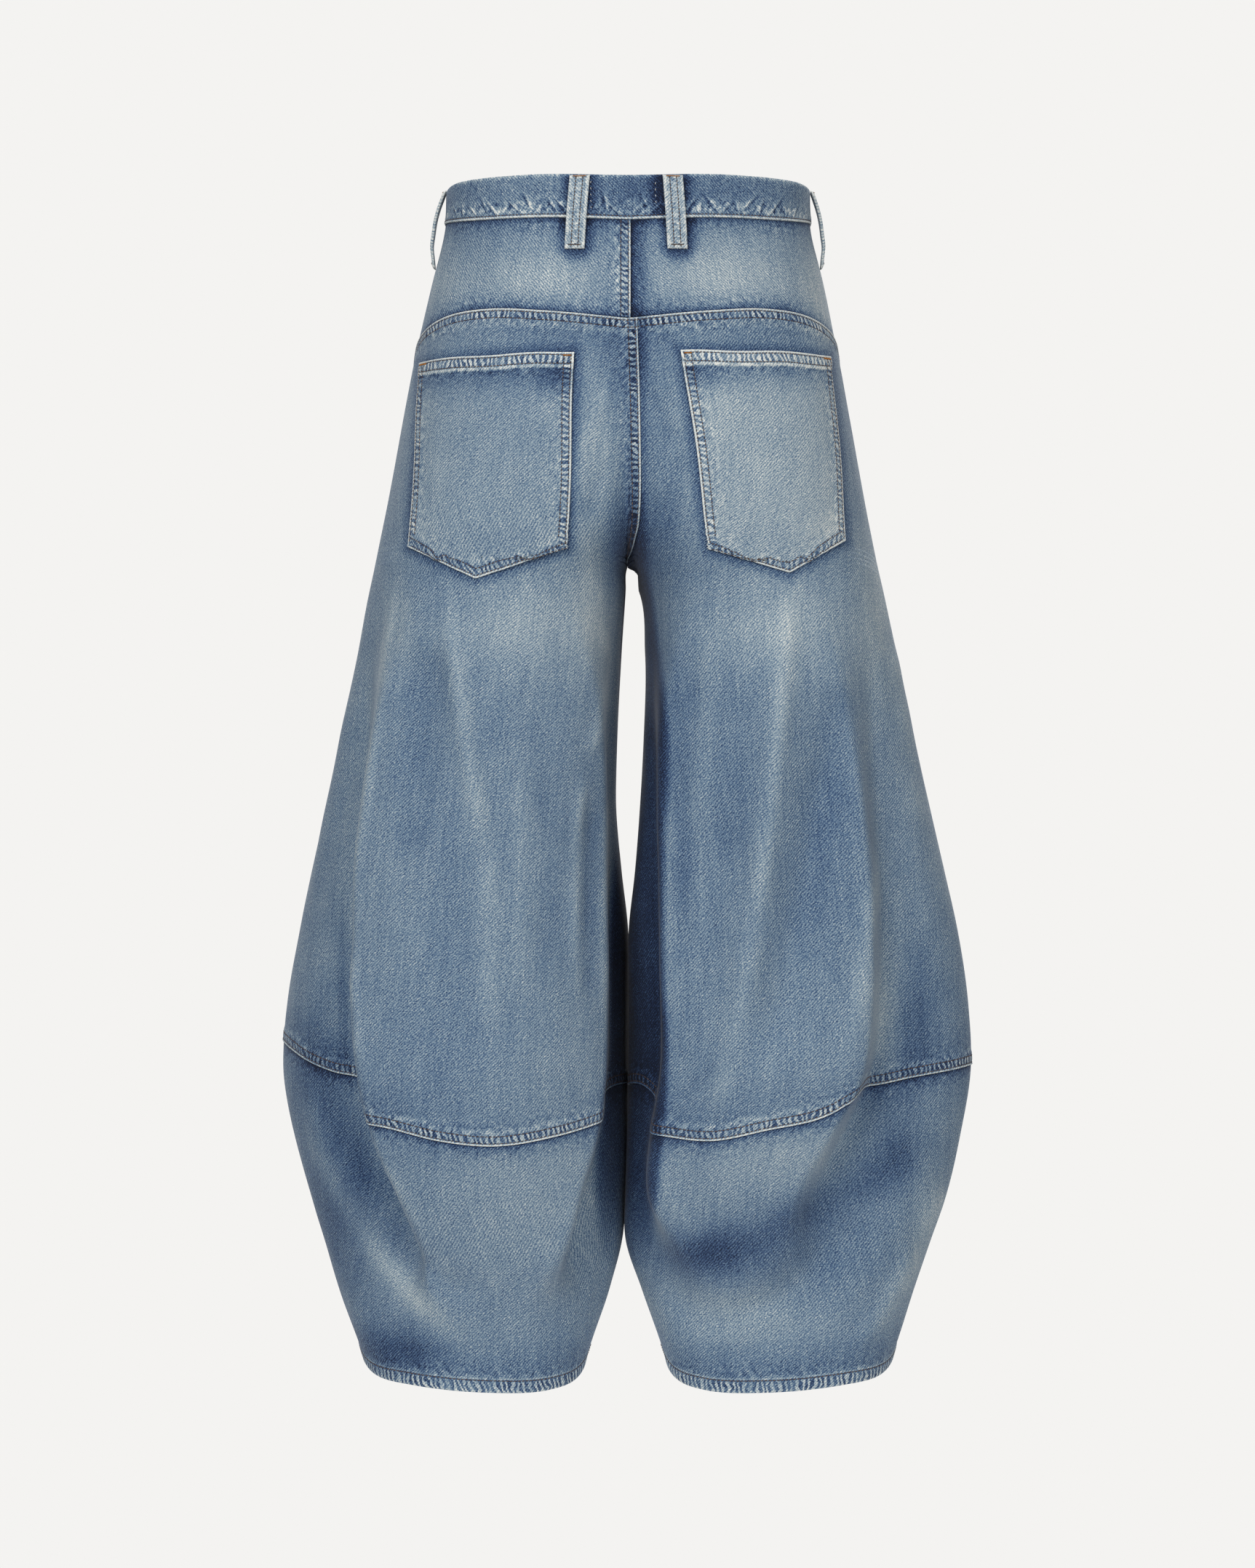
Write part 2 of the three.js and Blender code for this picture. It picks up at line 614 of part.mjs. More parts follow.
// Belt loops: strips sewn down above and below the waistband, and standing off it between. clear is the
// distance of a loop's inner side from the cloth. lean moves the lower end outwards.
const BACK_LOOP = table(["z", "clear"], [
  [18.6, 1.6], [12, 2], [3, 2.6], [-8, 2.9], [-19, 2.7], [-29, 1.6], [-36, 0.5], [-41, 0.5],
]);
const SIDE_LOOP = table(["z", "clear"], [
  [18.6, 1.6], [12, 1.9], [4, 2.6], [-6, 3.6], [-18, 3.9], [-29, 2.9], [-38, 1], [-45, 0.9],
]);
const LOOPS = table(["name", "leg", "face", "x", "lean", "shape"], [
  ["loop_back_left", "left", "back", 37.9, 4.4, BACK_LOOP],
  ["loop_back_right", "right", "back", 35.9, 4, BACK_LOOP],
  ["loop_front_left", "left", "front", 84, 3, BACK_LOOP],
  ["loop_front_right", "right", "front", 84, 3, BACK_LOOP],
  ["loop_side_left", "left", "back", "side", 0, SIDE_LOOP],
  ["loop_side_right", "right", "back", "side", 0, SIDE_LOOP],
]);
const LOOP_COLUMNS = 3;

for (const loop of LOOPS) {
  const outer = [];
  const inner = [];
  const top = loop.shape[0].z;
  const drop = top - loop.shape[loop.shape.length - 1].z;
  for (const { z, clear } of loop.shape) {
    const ends = steps(-LOOP_WIDTH / 2, LOOP_WIDTH / 2, LOOP_COLUMNS).map((offset) => {
      if (loop.x === "side") {
        const face = offset < 0 ? "back" : "front";
        const { total } = halfSection(loop.leg, face, z);
        return cloth(loop.leg, face, 1 - Math.abs(offset) / total, z);
      }
      return placeAt(loop.leg, loop.face, loop.x + (loop.lean * (top - z)) / drop + offset, z);
    });
    outer.push(ends.map((p) => p.point.clone().addScaledVector(p.normal, clear + LOOP_WALL)));
    inner.push(ends.map((p) => p.point.clone().addScaledVector(p.normal, clear)));
  }
  piece(loop.name, wall(outer, inner), PALE_BLUE);
}

// The waistband's button, a low domed disc on a short neck.
const BUTTON_X = 13;
const BUTTON_Z = 0.5;
const BUTTON_GAP = 0.35;
const BUTTON_SIDES = 24;
const BUTTON_PROFILE = table(["radius", "height"], [
  [0, 0], [4.2, 0], [4.2, 1.2], [7.9, 1.3], [8.5, 2], [8.3, 3], [7.4, 3.3], [6.6, 2.9], [3, 3.2], [0, 3.3],
]);
const buttonPlace = placeAt("left", "front", BUTTON_X, BUTTON_Z);
const buttonGeometry = new THREE.LatheGeometry(
  BUTTON_PROFILE.map(({ radius, height }) => new THREE.Vector2(radius, height)),
  BUTTON_SIDES,
);
const button = new THREE.Mesh(
  buttonGeometry,
  new THREE.MeshStandardMaterial({ color: COPPER, roughness: 0.4, metalness: 1 }),
);
button.name = "button";
button.quaternion.setFromUnitVectors(new THREE.Vector3(0, 1, 0), buttonPlace.normal);
button.position.copy(buttonPlace.point).addScaledVector(buttonPlace.normal, BAND_PROUD + BUTTON_GAP);
model.add(button);

export default model;
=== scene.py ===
"""Barrel leg jeans in washed denim, in the form they have when worn, with nothing inside."""
import math

import bpy
import numpy as np
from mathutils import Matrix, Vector


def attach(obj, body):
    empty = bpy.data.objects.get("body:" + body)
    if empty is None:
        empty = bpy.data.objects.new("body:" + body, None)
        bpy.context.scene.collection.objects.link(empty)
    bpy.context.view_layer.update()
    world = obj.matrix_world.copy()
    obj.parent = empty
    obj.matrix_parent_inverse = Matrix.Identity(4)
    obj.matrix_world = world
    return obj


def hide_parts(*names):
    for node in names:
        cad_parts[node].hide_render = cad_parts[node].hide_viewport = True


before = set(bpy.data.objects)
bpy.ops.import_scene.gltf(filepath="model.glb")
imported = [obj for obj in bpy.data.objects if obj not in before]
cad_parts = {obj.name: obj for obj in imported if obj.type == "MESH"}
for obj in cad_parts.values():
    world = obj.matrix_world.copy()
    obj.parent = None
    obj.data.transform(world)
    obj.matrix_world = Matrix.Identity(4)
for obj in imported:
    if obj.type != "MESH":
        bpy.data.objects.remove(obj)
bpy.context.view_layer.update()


# Camera
# It stands level behind the jeans, at half the height of the picture. At the depth of the side seams one
# pixel of the picture is 0.6 mm.
MM = 0.001
IMAGE_HEIGHT = 2156
MM_PER_PIXEL = 0.6
CAMERA_AWAY = 3500
CAMERA_Z = -469.6
SENSOR_HEIGHT = 24


def into_scene(name, data):
    """Adds an object that shows the data."""
    item = bpy.data.objects.new(name, data)
    bpy.context.scene.collection.objects.link(item)
    return item


camera_data = bpy.data.cameras.new("camera")
camera_data.sensor_fit = "VERTICAL"
camera_data.sensor_height = SENSOR_HEIGHT
camera_data.lens = SENSOR_HEIGHT * CAMERA_AWAY / (IMAGE_HEIGHT * MM_PER_PIXEL)
camera_data.dof.use_dof = False
camera = into_scene("camera", camera_data)
camera.location = (0, CAMERA_AWAY * MM, CAMERA_Z * MM)
camera.rotation_euler = (math.pi / 2, 0, math.pi)
bpy.context.scene.camera = camera


# Studio
# A pale floor well below the hems, an even pale surround and large soft lights, a little stronger from
# the upper left of the picture. Smaller ones light the front.
def linear(hex_colour):
    """An sRGB hex colour as linear red, green, blue and alpha."""
    parts = [int(hex_colour[i : i + 2], 16) / 255 for i in (1, 3, 5)]
    return [c / 12.92 if c <= 0.04045 else ((c + 0.055) / 1.055) ** 2.4 for c in parts] + [1]


def add_node(tree, kind, settings=None, inputs=None):
    """Adds a shader node, sets its properties, and sets or links its inputs."""
    node = tree.nodes.new(kind)
    for name, value in (settings or {}).items():
        setattr(node, name, value)
    for name, value in (inputs or {}).items():
        if isinstance(value, bpy.types.NodeSocket):
            tree.links.new(value, node.inputs[name])
        else:
            node.inputs[name].default_value = value
    return node


def new_material(name, settings):
    """A material with settings for its shader. Returns it with its node tree and its shader."""
    material = bpy.data.materials.new(name)
    material.use_nodes = True
    shader = material.node_tree.nodes["Principled BSDF"]
    for setting, value in settings.items():
        shader.inputs[setting].default_value = value
    return material, material.node_tree, shader


SURROUND = "#f4f3f1"
SURROUND_LIGHT = 0.2
FLOOR_Z = -1400
FLOOR_SIZE = 2.8
PAPER_GLOW = 0.07
AIM = Vector((0, 0, -0.5))
LIGHTS = {  # place in metres, size in metres, watts
    "key_light": ((1.7, 3.7, 1.5), 2.0, 108),
    "fill_light": ((-1.9, 3.6, 0.3), 2.4, 52),
    "top_light": ((0, 0.8, 3.2), 2.4, 40),
    "front_light": ((-1.7, -3.7, 1.4), 2.2, 108),
    "front_fill": ((1.9, -3.6, 0.3), 2.4, 52),
}

world = bpy.data.worlds.new("surround")
bpy.context.scene.world = world
world.use_nodes = True
background = world.node_tree.nodes["Background"]
light_path = add_node(world.node_tree, "ShaderNodeLightPath")
seen_strength = add_node(
    world.node_tree,
    "ShaderNodeMapRange",
    inputs={"Value": light_path.outputs["Is Camera Ray"], "To Min": SURROUND_LIGHT, "To Max": 1},
)
background.inputs["Color"].default_value = linear(SURROUND)
world.node_tree.links.new(seen_strength.outputs["Result"], background.inputs["Strength"])

for name, (place, size, watts) in LIGHTS.items():
    light = bpy.data.lights.new(name, "AREA")
    light.shape = "SQUARE"
    light.size = size
    light.energy = watts
    lamp = into_scene(name, light)
    lamp.location = place
    lamp.rotation_euler = (AIM - Vector(place)).to_track_quat("-Z", "Y").to_euler()

floor_mesh = bpy.data.meshes.new("floor")
half = FLOOR_SIZE / 2
corners = [(-half, -half), (half, -half), (half, half), (-half, half)]
floor_mesh.from_pydata([(x, y, FLOOR_Z * MM) for x, y in corners], [], [(0, 1, 2, 3)])
floor = into_scene("floor", floor_mesh)
paper_settings = {
    "Base Color": linear("#f6f5f3"),
    "Roughness": 1,
    "Specular IOR Level": 0,
    "Emission Color": linear(SURROUND),
    "Emission Strength": PAPER_GLOW,
}
floor_mesh.materials.append(new_material("matt_paper_floor", paper_settings)[0])
bpy.context.scene.view_settings.view_transform = "Standard"


# Back yokes
# The shaped pieces of denim between the waistband and the legs, right and left. The left one is lapped
# over the right at the centre back with a felled seam sewn in two rows. Their form, and that of all the
# cloth below, is given here: horizontal sections of each leg, carried up through the seat to the waist.
SEAM_GAP = 0.3
CROTCH_Z = -292
SQUARENESS = 2.2
SECTION_COLUMNS = {"out": 1, "mid": 2, "in": 3, "side": 4, "back": 5, "front": 6}
SECTIONS = {  # height, widest, deepest place, innermost, depth of the widest, deepest back and front
    "left": [
        (30, 147, 0, -148, 0, 97, -97),
        (-18, 151, 0, -152, 0, 101, -101),
        (-56, 160.5, 3, -150, 0, 106, -105),
        (-110, 173, 15, -128, 0, 114, -107),
        (-182, 187, 41, -88, 0, 122, -105),
        (-254, 200, 66, -34, 2, 123, -101),
        (-292, 207.5, 80, 0.5, 4, 119, -99),
        (-310, 211.5, 87, 1.5, 3, 116, -99),
        (-362, 222, 100, 4.8, 0, 110, -100),
        (-434, 237.5, 113, 8.4, -6, 105, -102),
        (-488, 249, 121, 9.4, -12, 102, -105),
        (-542, 261.5, 129, 4.8, -18, 100, -108),
        (-588, 271, 135, -0.4, -20, 99, -111),
        (-650, 281.5, 140, -1.2, -20, 98, -113),
        (-704, 284.5, 142, -0.8, -18, 98, -114),
        (-760, 275, 141, -0.8, -14, 97, -112),
        (-800, 264, 138, 1.2, -10, 95, -106),
        (-845, 250, 134, 4.2, -6, 90, -96),
        (-885, 238, 130, 14.7, -2, 83, -84),
        (-944, 216, 125, 34, 0, 73, -68),
        (-970, 207, 123, 40, 0, 70, -64),
    ],
    "right": [
        (30, 149, 0, -148, 0, 97, -97),
        (-18, 151.5, 0, -152, 0, 101, -101),
        (-56, 161, 3, -150, 0, 106, -105),
        (-110, 172, 15, -128, 0, 114, -107),
        (-182, 185.5, 41, -88, 0, 122, -105),
        (-254, 198.5, 66, -34, 2, 123, -101),
        (-292, 206, 80, 0.5, 4, 119, -99),
        (-310, 210, 88, 9, 4, 116, -99),
        (-362, 221, 102, 14.4, 4, 110, -100),
        (-434, 236, 115, 13.2, 8, 105, -101),
        (-488, 248, 122, 10.2, 14, 102, -103),
        (-542, 260, 129, 6, 20, 100, -106),
        (-588, 270, 135, 1, 23, 99, -109),
        (-650, 279, 139, 0.8, 24, 98, -111),
        (-704, 281, 141, 0.4, 22, 98, -112),
        (-760, 272, 140, -0.6, 18, 97, -110),
        (-800, 263.5, 137, -1.6, 14, 95, -104),
        (-845, 249, 133, -1.5, 8, 90, -95),
        (-885, 236, 129, 11.5, 2, 83, -83),
        (-944, 217, 125, 31.5, 0, 73, -68),
        (-970, 208, 123, 38, 0, 70, -64),
    ],
}
FULLNESS = {  # height, inner and outer edge of the broad fold, softness of its flanks, how far it stands out
    ("left", "back"): [
        (-300, 24, 188, 60, 0),
        (-380, 20, 203, 34, 13),
        (-470, 18, 215, 24, 27),
        (-560, 17, 222, 19, 40),
        (-640, 17, 223, 16, 50),
        (-710, 18, 216, 15, 57),
        (-750, 24, 206, 18, 55),
        (-800, 38, 188, 30, 42),
        (-850, 52, 172, 44, 22),
        (-900, 62, 160, 56, 5),
        (-930, 66, 155, 60, 0),
    ],
    ("right", "back"): [
        (-300, 30, 172, 60, 0),
        (-380, 28, 184, 36, 13),
        (-470, 29, 193, 26, 26),
        (-560, 30, 199, 20, 38),
        (-640, 31, 200, 17, 47),
        (-700, 30, 192, 18, 52),
        (-745, 25, 172, 26, 48),
        (-790, 24, 150, 38, 34),
        (-840, 34, 140, 46, 14),
        (-890, 40, 130, 50, 0),
    ],
    ("left", "front"): [
        (-380, 34, 190, 60, 0),
        (-480, 30, 205, 44, 12),
        (-580, 28, 216, 34, 24),
        (-680, 28, 214, 28, 34),
        (-730, 34, 200, 34, 32),
        (-790, 46, 180, 44, 18),
        (-850, 60, 165, 50, 0),
    ],
    ("right", "front"): [
        (-370, 38, 182, 60, 0),
        (-480, 33, 198, 44, 13),
        (-580, 30, 208, 34, 26),
        (-680, 30, 204, 28, 35),
        (-730, 36, 190, 34, 32),
        (-790, 48, 170, 44, 17),
        (-850, 60, 160, 50, 0),
    ],
}
FOLDS = {  # three places that a soft fold runs through, its width, and its lift, below zero for a trough
    ("left", "back"): [
        ((147, -320), (132, -420), (112, -530), 9, 3),
        ((172, -350), (160, -430), (168, -520), 18, -3.5),
        ((258, -715), (214, -812), (96, -935), 13, 7),
        ((222, -740), (172, -835), (118, -890), 15, -7),
        ((236, -850), (205, -905), (160, -940), 15, -5),
    ],
    ("right", "back"): [
        ((124, -318), (110, -500), (78, -712), 16, 7),
        ((166, -385), (140, -560), (110, -706), 20, -10),
        ((190, -420), (193, -590), (166, -724), 15, 5),
        ((14, -815), (86, -905), (226, -768), 23, -15),
        ((232, -832), (214, -890), (176, -932), 9, 5),
    ],
    ("left", "front"): [
        ((120, -250), (118, -420), (96, -620), 16, 5),
        ((168, -330), (160, -480), (148, -650), 20, -7),
        ((30, -800), (110, -885), (225, -800), 22, -10),
    ],
    ("right", "front"): [
        ((118, -240), (126, -420), (118, -640), 16, 5),
        ((170, -340), (164, -470), (166, -640), 18, -6),
        ((60, -420), (62, -540), (84, -690), 18, -6),
        ((226, -780), (150, -885), (60, -915), 20, -9),
    ],
}
LEG_SIGN = {"left": 1, "right": -1}
LEDGE = [(292, 0.5), (294.5, 7), (297, 8.4), (310, 9)]  # right leg under the crotch: depth, inner side
FLANKS = {  # how far the inner flank's top and foot, then the outer's, close up, as shares of softness
    ("left", "back"): (0.45, 0.38, 0.2, 0.64),
    ("right", "back"): (0.6, 0.22, 0.1, 0.2),
    ("left", "front"): (0.2, 0.2, 0.2, 0.2),
    ("right", "front"): (0.2, 0.2, 0.2, 0.2),
}
WAIST_SEAM = {
    "back": [(0, -17.5), (0.3, -14.8), (0.65, -13.2), (1, -8.5)],
    "front": [(0, -18), (0.5, -15), (1, -8.5)],
}
YOKE_SEAM = [(0, -97.5), (0.3, -90.5), (0.5, -87.5), (0.7, -91), (0.86, -101), (1, -114)]


def smooth(share):
    """Rises from 0 to 1 with soft ends."""
    t = np.clip(share, 0, 1)
    return t * t * (3 - 2 * t)


def read(distance, curve):
    """The value of a curve, given as pairs of distance and value, at distances."""
    return np.interp(distance, *zip(*curve))


def peak(distance, width):
    """A soft hump: 1 at no distance, and about a third at its width."""
    return np.exp(-((distance / width) ** 2))


def through(rows, column, at):
    """A smooth curve through one column of a table, at places along its first column."""
    table = np.array(rows, float)
    x, y = table[:, 0], table[:, column]
    at = np.asarray(at, float)
    if x[-1] < x[0]:
        x, at = -x, -at
    at = np.clip(at, x[0], x[-1])
    gap = np.diff(x)
    step = np.diff(y) / gap
    between = (step[:-1] * gap[1:] + step[1:] * gap[:-1]) / (gap[:-1] + gap[1:])
    slope = np.concatenate([step[:1], between, step[-1:]])
    i = np.clip(np.searchsorted(x, at, side="right") - 1, 0, len(gap) - 1)
    t = (at - x[i]) / gap[i]
    start = (2 * t**3 - 3 * t**2 + 1) * y[i] + (t**3 - 2 * t**2 + t) * gap[i] * slope[i]
    return start + (3 * t**2 - 2 * t**3) * y[i + 1] + (t**3 - t**2) * gap[i] * slope[i + 1]


BOW_PARTS = 12


def along_fold(places, x, z):
    """How far each point lies from a bowed line through three places, and how far along it that is."""
    a, b, c = (np.array(p, float) for p in places)
    bend = 2 * b - (a + c) / 2
    t = np.linspace(0, 1, BOW_PARTS + 1)[:, None]
    line = (1 - t) ** 2 * a + 2 * t * (1 - t) * bend + t**2 * c
    nearest = np.full(np.shape(x), np.inf)
    along = np.zeros(np.shape(x))
    for i in range(BOW_PARTS):
        run = line[i + 1] - line[i]
        share = ((x - line[i, 0]) * run[0] + (z - line[i, 1]) * run[1]) / (run @ run)
        share = np.clip(share, 0, 1)
        away = np.hypot(x - line[i, 0] - share * run[0], z - line[i, 1] - share * run[1])
        along = np.where(away < nearest, (i + share) / BOW_PARTS, along)
        nearest = np.minimum(away, nearest)
    return nearest, along


def fold_lift(folds, x, z):
    """The lift of soft ridges and troughs, which die out at both ends."""
    lift = np.zeros(np.shape(x))
    for *places, width, height in folds:
        away, along = along_fold(places, x, z)
        lift += height * smooth(along * 4) * smooth((1 - along) * 4) * peak(away, width)
    return lift


CLOTH_TOP, CLOTH_FOOT = 30, -971
CLOTH_STEP = 1.5
SECTION_STEPS = 320
SHARE_STEPS = 400
SPLIT_X = 60
EDGE_DEPTH = 0.84
FLANK_REACH = 22
EVEN_ROWS = 61


def half_cloth(leg, face):
    """The smooth outer face of the cloth of one leg, front or back: a grid of points and normals, with the
    length of each row and the distance to the place where its inner stretch of columns ends."""
    z = np.arange(CLOTH_TOP, CLOTH_FOOT, -CLOTH_STEP)
    size = {name: through(SECTIONS[leg], k, z)[:, None] for name, k in SECTION_COLUMNS.items()}
    edge_in, edge_out, soft, stands = (through(FULLNESS[leg, face], k, z)[:, None] for k in (1, 2, 3, 4))
    high = z[:, None] > CROTCH_Z
    depth = size["back"] - size["side"] if face == "back" else size["side"] - size["front"]
    way = 1 if face == "back" else -1
    power = 2 / SQUARENESS
    inner = size["mid"] - size["in"]
    cut = np.clip((size["mid"] - np.where(high, SEAM_GAP / 2, 0)) / np.maximum(inner, 1), 0, 1)
    start = np.where(high, np.arccos(cut ** (1 / power)), 0)
    turn = start + (np.pi - start) * np.linspace(0, 1, SECTION_STEPS + 1)[None, :]
    reach = np.abs(np.cos(turn)) ** power
    outer_x = size["mid"] + (size["out"] - size["mid"]) * reach
    x = np.where(turn < np.pi / 2, size["mid"] - inner * reach, outer_x)
    swell = np.maximum(0, np.sin(turn)) ** power
    up_in, up_out = smooth((x - edge_in) / soft + 0.5), smooth((edge_out - x) / soft + 0.5)
    crown = np.sin(np.pi * (x - edge_in) / (edge_out - edge_in))
    stands = np.maximum(0, stands)
    broad = stands * up_in * up_out * (EDGE_DEPTH + (1 - EDGE_DEPTH) * crown)
    heights = np.broadcast_to(z[:, None], x.shape)
    y = size["side"] + way * (depth * swell + broad + fold_lift(FOLDS[leg, face], x, heights) * swell)
    # The flanks of the broad fold close up until they are nearly upright.
    steep = soft * smooth(stands / 30)
    top_in, foot_in, top_out, foot_out = FLANKS[leg, face]
    for past, up, top, foot, side in (
        (x - edge_in, up_in, top_in, foot_in, -1),
        (edge_out - x, up_out, top_out, foot_out, 1),
    ):
        over = top * up * np.exp(-np.maximum(0, past - soft / 2) / FLANK_REACH)
        under = foot * (1 - up) * np.exp(-np.maximum(0, -past - soft / 2) / FLANK_REACH)
        shift = side * steep * (over - under)
        x = x + shift * smooth((x - size["in"]) / 8) * smooth((size["out"] - x) / 12)
    if leg == "right":
        ledge = read(-z, LEDGE)[:, None]
        under_seam = (z[:, None] <= CROTCH_Z) & (z[:, None] > -LEDGE[-1][0])
        x = np.where(under_seam, np.maximum(x, ledge), x)
    run = np.cumsum(np.hypot(np.diff(x), np.diff(y)), axis=1)
    run = np.concatenate([np.zeros((len(z), 1)), run], axis=1)
    total = run[:, -1]
    even = np.ones(EVEN_ROWS) / EVEN_ROWS
    wide = np.convolve(np.pad(total, EVEN_ROWS // 2, mode="edge"), even, mode="valid")
    points = np.empty((len(z), SHARE_STEPS + 1, 3))
    crown_at = np.empty(len(z))
    for i in range(len(z)):
        at = np.linspace(0, total[i], SHARE_STEPS + 1)
        points[i, :, 0] = LEG_SIGN[leg] * np.interp(at, run[i], x[i])
        points[i, :, 1] = np.interp(at, run[i], y[i])
        crown_at[i] = run[i][np.argmax(x[i] >= max(SPLIT_X, size["mid"][i, 0]))]
    points[:, :, 2] = z[:, None]
    across = np.gradient(points, axis=1)
    down = np.gradient(points, axis=0)
    low = z <= CROTCH_Z
    across[:, -1] *= (0, 1, 0)
    across[low, 0] *= (0, 1, 0)
    across[~low, 0] *= (1, 0, 0)
    down[~low, 0] *= (0, 1, 1)
    normals = np.cross(across, down)
    if LEG_SIGN[leg] * way < 0:
        normals = -normals
    normals /= np.linalg.norm(normals, axis=2, keepdims=True)
    return {"z": z, "points": points, "normals": normals, "total": total, "crown": crown_at, "wide": wide}


cloth = {(leg, face): half_cloth(leg, face) for leg in LEG_SIGN for face in ("back", "front")}


def cloth_at(leg, face, share, z):
    """Points of the smooth cloth and its normals, at shares of the way to the side seam and at heights."""
    grid = cloth[leg, face]
    share, z = np.broadcast_arrays(np.asarray(share, float), np.asarray(z, float))
    r = np.clip((CLOTH_TOP - z) / CLOTH_STEP, 0, len(grid["z"]) - 1.001)
    c = np.clip(share * SHARE_STEPS, 0, SHARE_STEPS - 0.001)
    i, j = r.astype(int), c.astype(int)
    fr, fc = (r - i)[..., None], (c - j)[..., None]

    def mixed(field):
        """The field between the four grid points round each place."""
        upper = field[i, j] * (1 - fc) + field[i, j + 1] * fc
        lower = field[i + 1, j] * (1 - fc) + field[i + 1, j + 1] * fc
        return upper * (1 - fr) + lower * fr

    points, normals = mixed(grid["points"]), mixed(grid["normals"])
    return points, normals / np.linalg.norm(normals, axis=-1, keepdims=True)


def length_at(leg, face, z):
    """The length of a row from the middle or inseam to the side seam, and to the end of its inner stretch."""
    grid = cloth[leg, face]
    return np.interp(-z, -grid["z"], grid["total"]), np.interp(-z, -grid["z"], grid["crown"])


def seen_across(leg, face, away, z):
    """Where places lie across the cloth, to the right as seen from outside, for the grain of the weave."""
    grid = cloth[leg, face]
    across = away - np.interp(-z, -grid["z"], grid["total"]) + np.interp(-z, -grid["z"], grid["wide"]) / 2
    return LEG_SIGN[leg] * across * (-1 if face == "back" else 1)


def waves(x, z, seed):
    """The slow, shallow unevenness of the whole cloth."""
    lift = 0.8 * np.sin(x / 31 + z / 83 + seed) * np.sin(z / 57 - x / 64 + 2 * seed)
    lift += 0.45 * np.sin(x / 14 + z / 47 + 3 * seed) * np.sin(z / 29 + seed)
    return lift + 0.15 * np.sin(x / 7.3 - z / 23 + 5 * seed) * np.sin(z / 13 + x / 19)


# A felled seam in section: distance from its folded edge, and height over the cloth. Two rows of stitches
# sink into it. A turned hem has one row, and is rolled by the wash.
LAP_PROFILE = [(0, 0.3), (0.3, 1.05), (0.8, 1.3), (1.4, 1.1), (2.1, 0.45), (2.9, 0.8), (5, 1), (7, 0.8),
               (7.8, 0.35), (8.6, 0.7), (10, 0.6), (11.6, 0.15), (13, 0)]
HEM_PROFILE = [(0, 0.2), (0.8, 0.9), (2, 1.25), (5, 1.15), (8.6, 0.9), (10.2, 0.3), (11.4, 0.55),
               (12.4, 0.3), (14, 0)]
LAP_STOPS = [0.3, 0.6, 1, 1.5, 2.1, 2.9, 4, 5.4, 7, 7.8, 8.6, 9.3, 10.2, 11.4, 12.6, 14, 16, 19]
EDGE_ROW, INNER_ROW, HEM_ROW = 2.1, 7.8, 10.2
PLAIN_STOPS = [0.15, 1, 2, 4, 7]
CLOTH_THICK = 1.2


# How the wash marks cloth beside a seam, as curves over the distance from the folded edge: pale is an even
# change of fade, ladder is the strength of the pale and dark rungs, and rub that of short worn streaks. On
# cloth under the edge of a lap, pale darkens it as a painted shadow.
LAP_MARKS = {
    "pale": [(0, 0), (0.4, 0.38), (1.2, 0.32), (2.1, -0.18), (2.9, -0.04), (7, -0.04), (7.8, -0.24),
             (8.6, -0.04), (12, 0), (15, -0.06), (24, -0.03), (40, 0)],
    "ladder": [(1.7, 0), (2.6, 1), (7.4, 1), (8.4, 0.3), (9.5, 0)],
    "rub": [(0, 0.2), (1.3, 0.2), (2, 0), (8, 0.1), (9, 1), (11, 0.8), (16, 0.35), (24, 0)],
}
HEM_MARKS = {
    "pale": [(0, 0.02), (1, 0.12), (3, 0.02), (9, 0), (9.4, -0.04), (10.2, -0.24), (11.5, 0.16),
             (12.6, -0.05), (16, -0.1), (28, -0.06), (44, 0)],
    "ladder": [(0, 0.5), (1, 1), (8.6, 0.9), (9.8, 0.3), (10.6, 0)],
    "rub": [(10.8, 0), (11.6, 0.5), (14, 0.6), (22, 0.2), (30, 0)],
}
# Under the edge of a lap: a painted shadow close to the edge, and worn streaks further out.
SHADOW_AND_RUB_MARKS = {
    "pale": [(0, -0.4), (1.4, -0.26), (5, -0.1), (13, -0.02), (18, 0)],
    "ladder": [(0, 0)],
    "rub": [(0, 0), (3, 0.5), (8, 0.45), (16, 0)],
}
PLAIN_MARKS = {"pale": [(0, -0.06), (5, 0)], "ladder": [(0, 0)], "rub": [(0, 0.2), (6, 0)]}


def marks_at(table, distance):
    """The pale, ladder and rub marks at distances from a seam."""
    return [read(distance, table[kind]) for kind in ("pale", "ladder", "rub")]
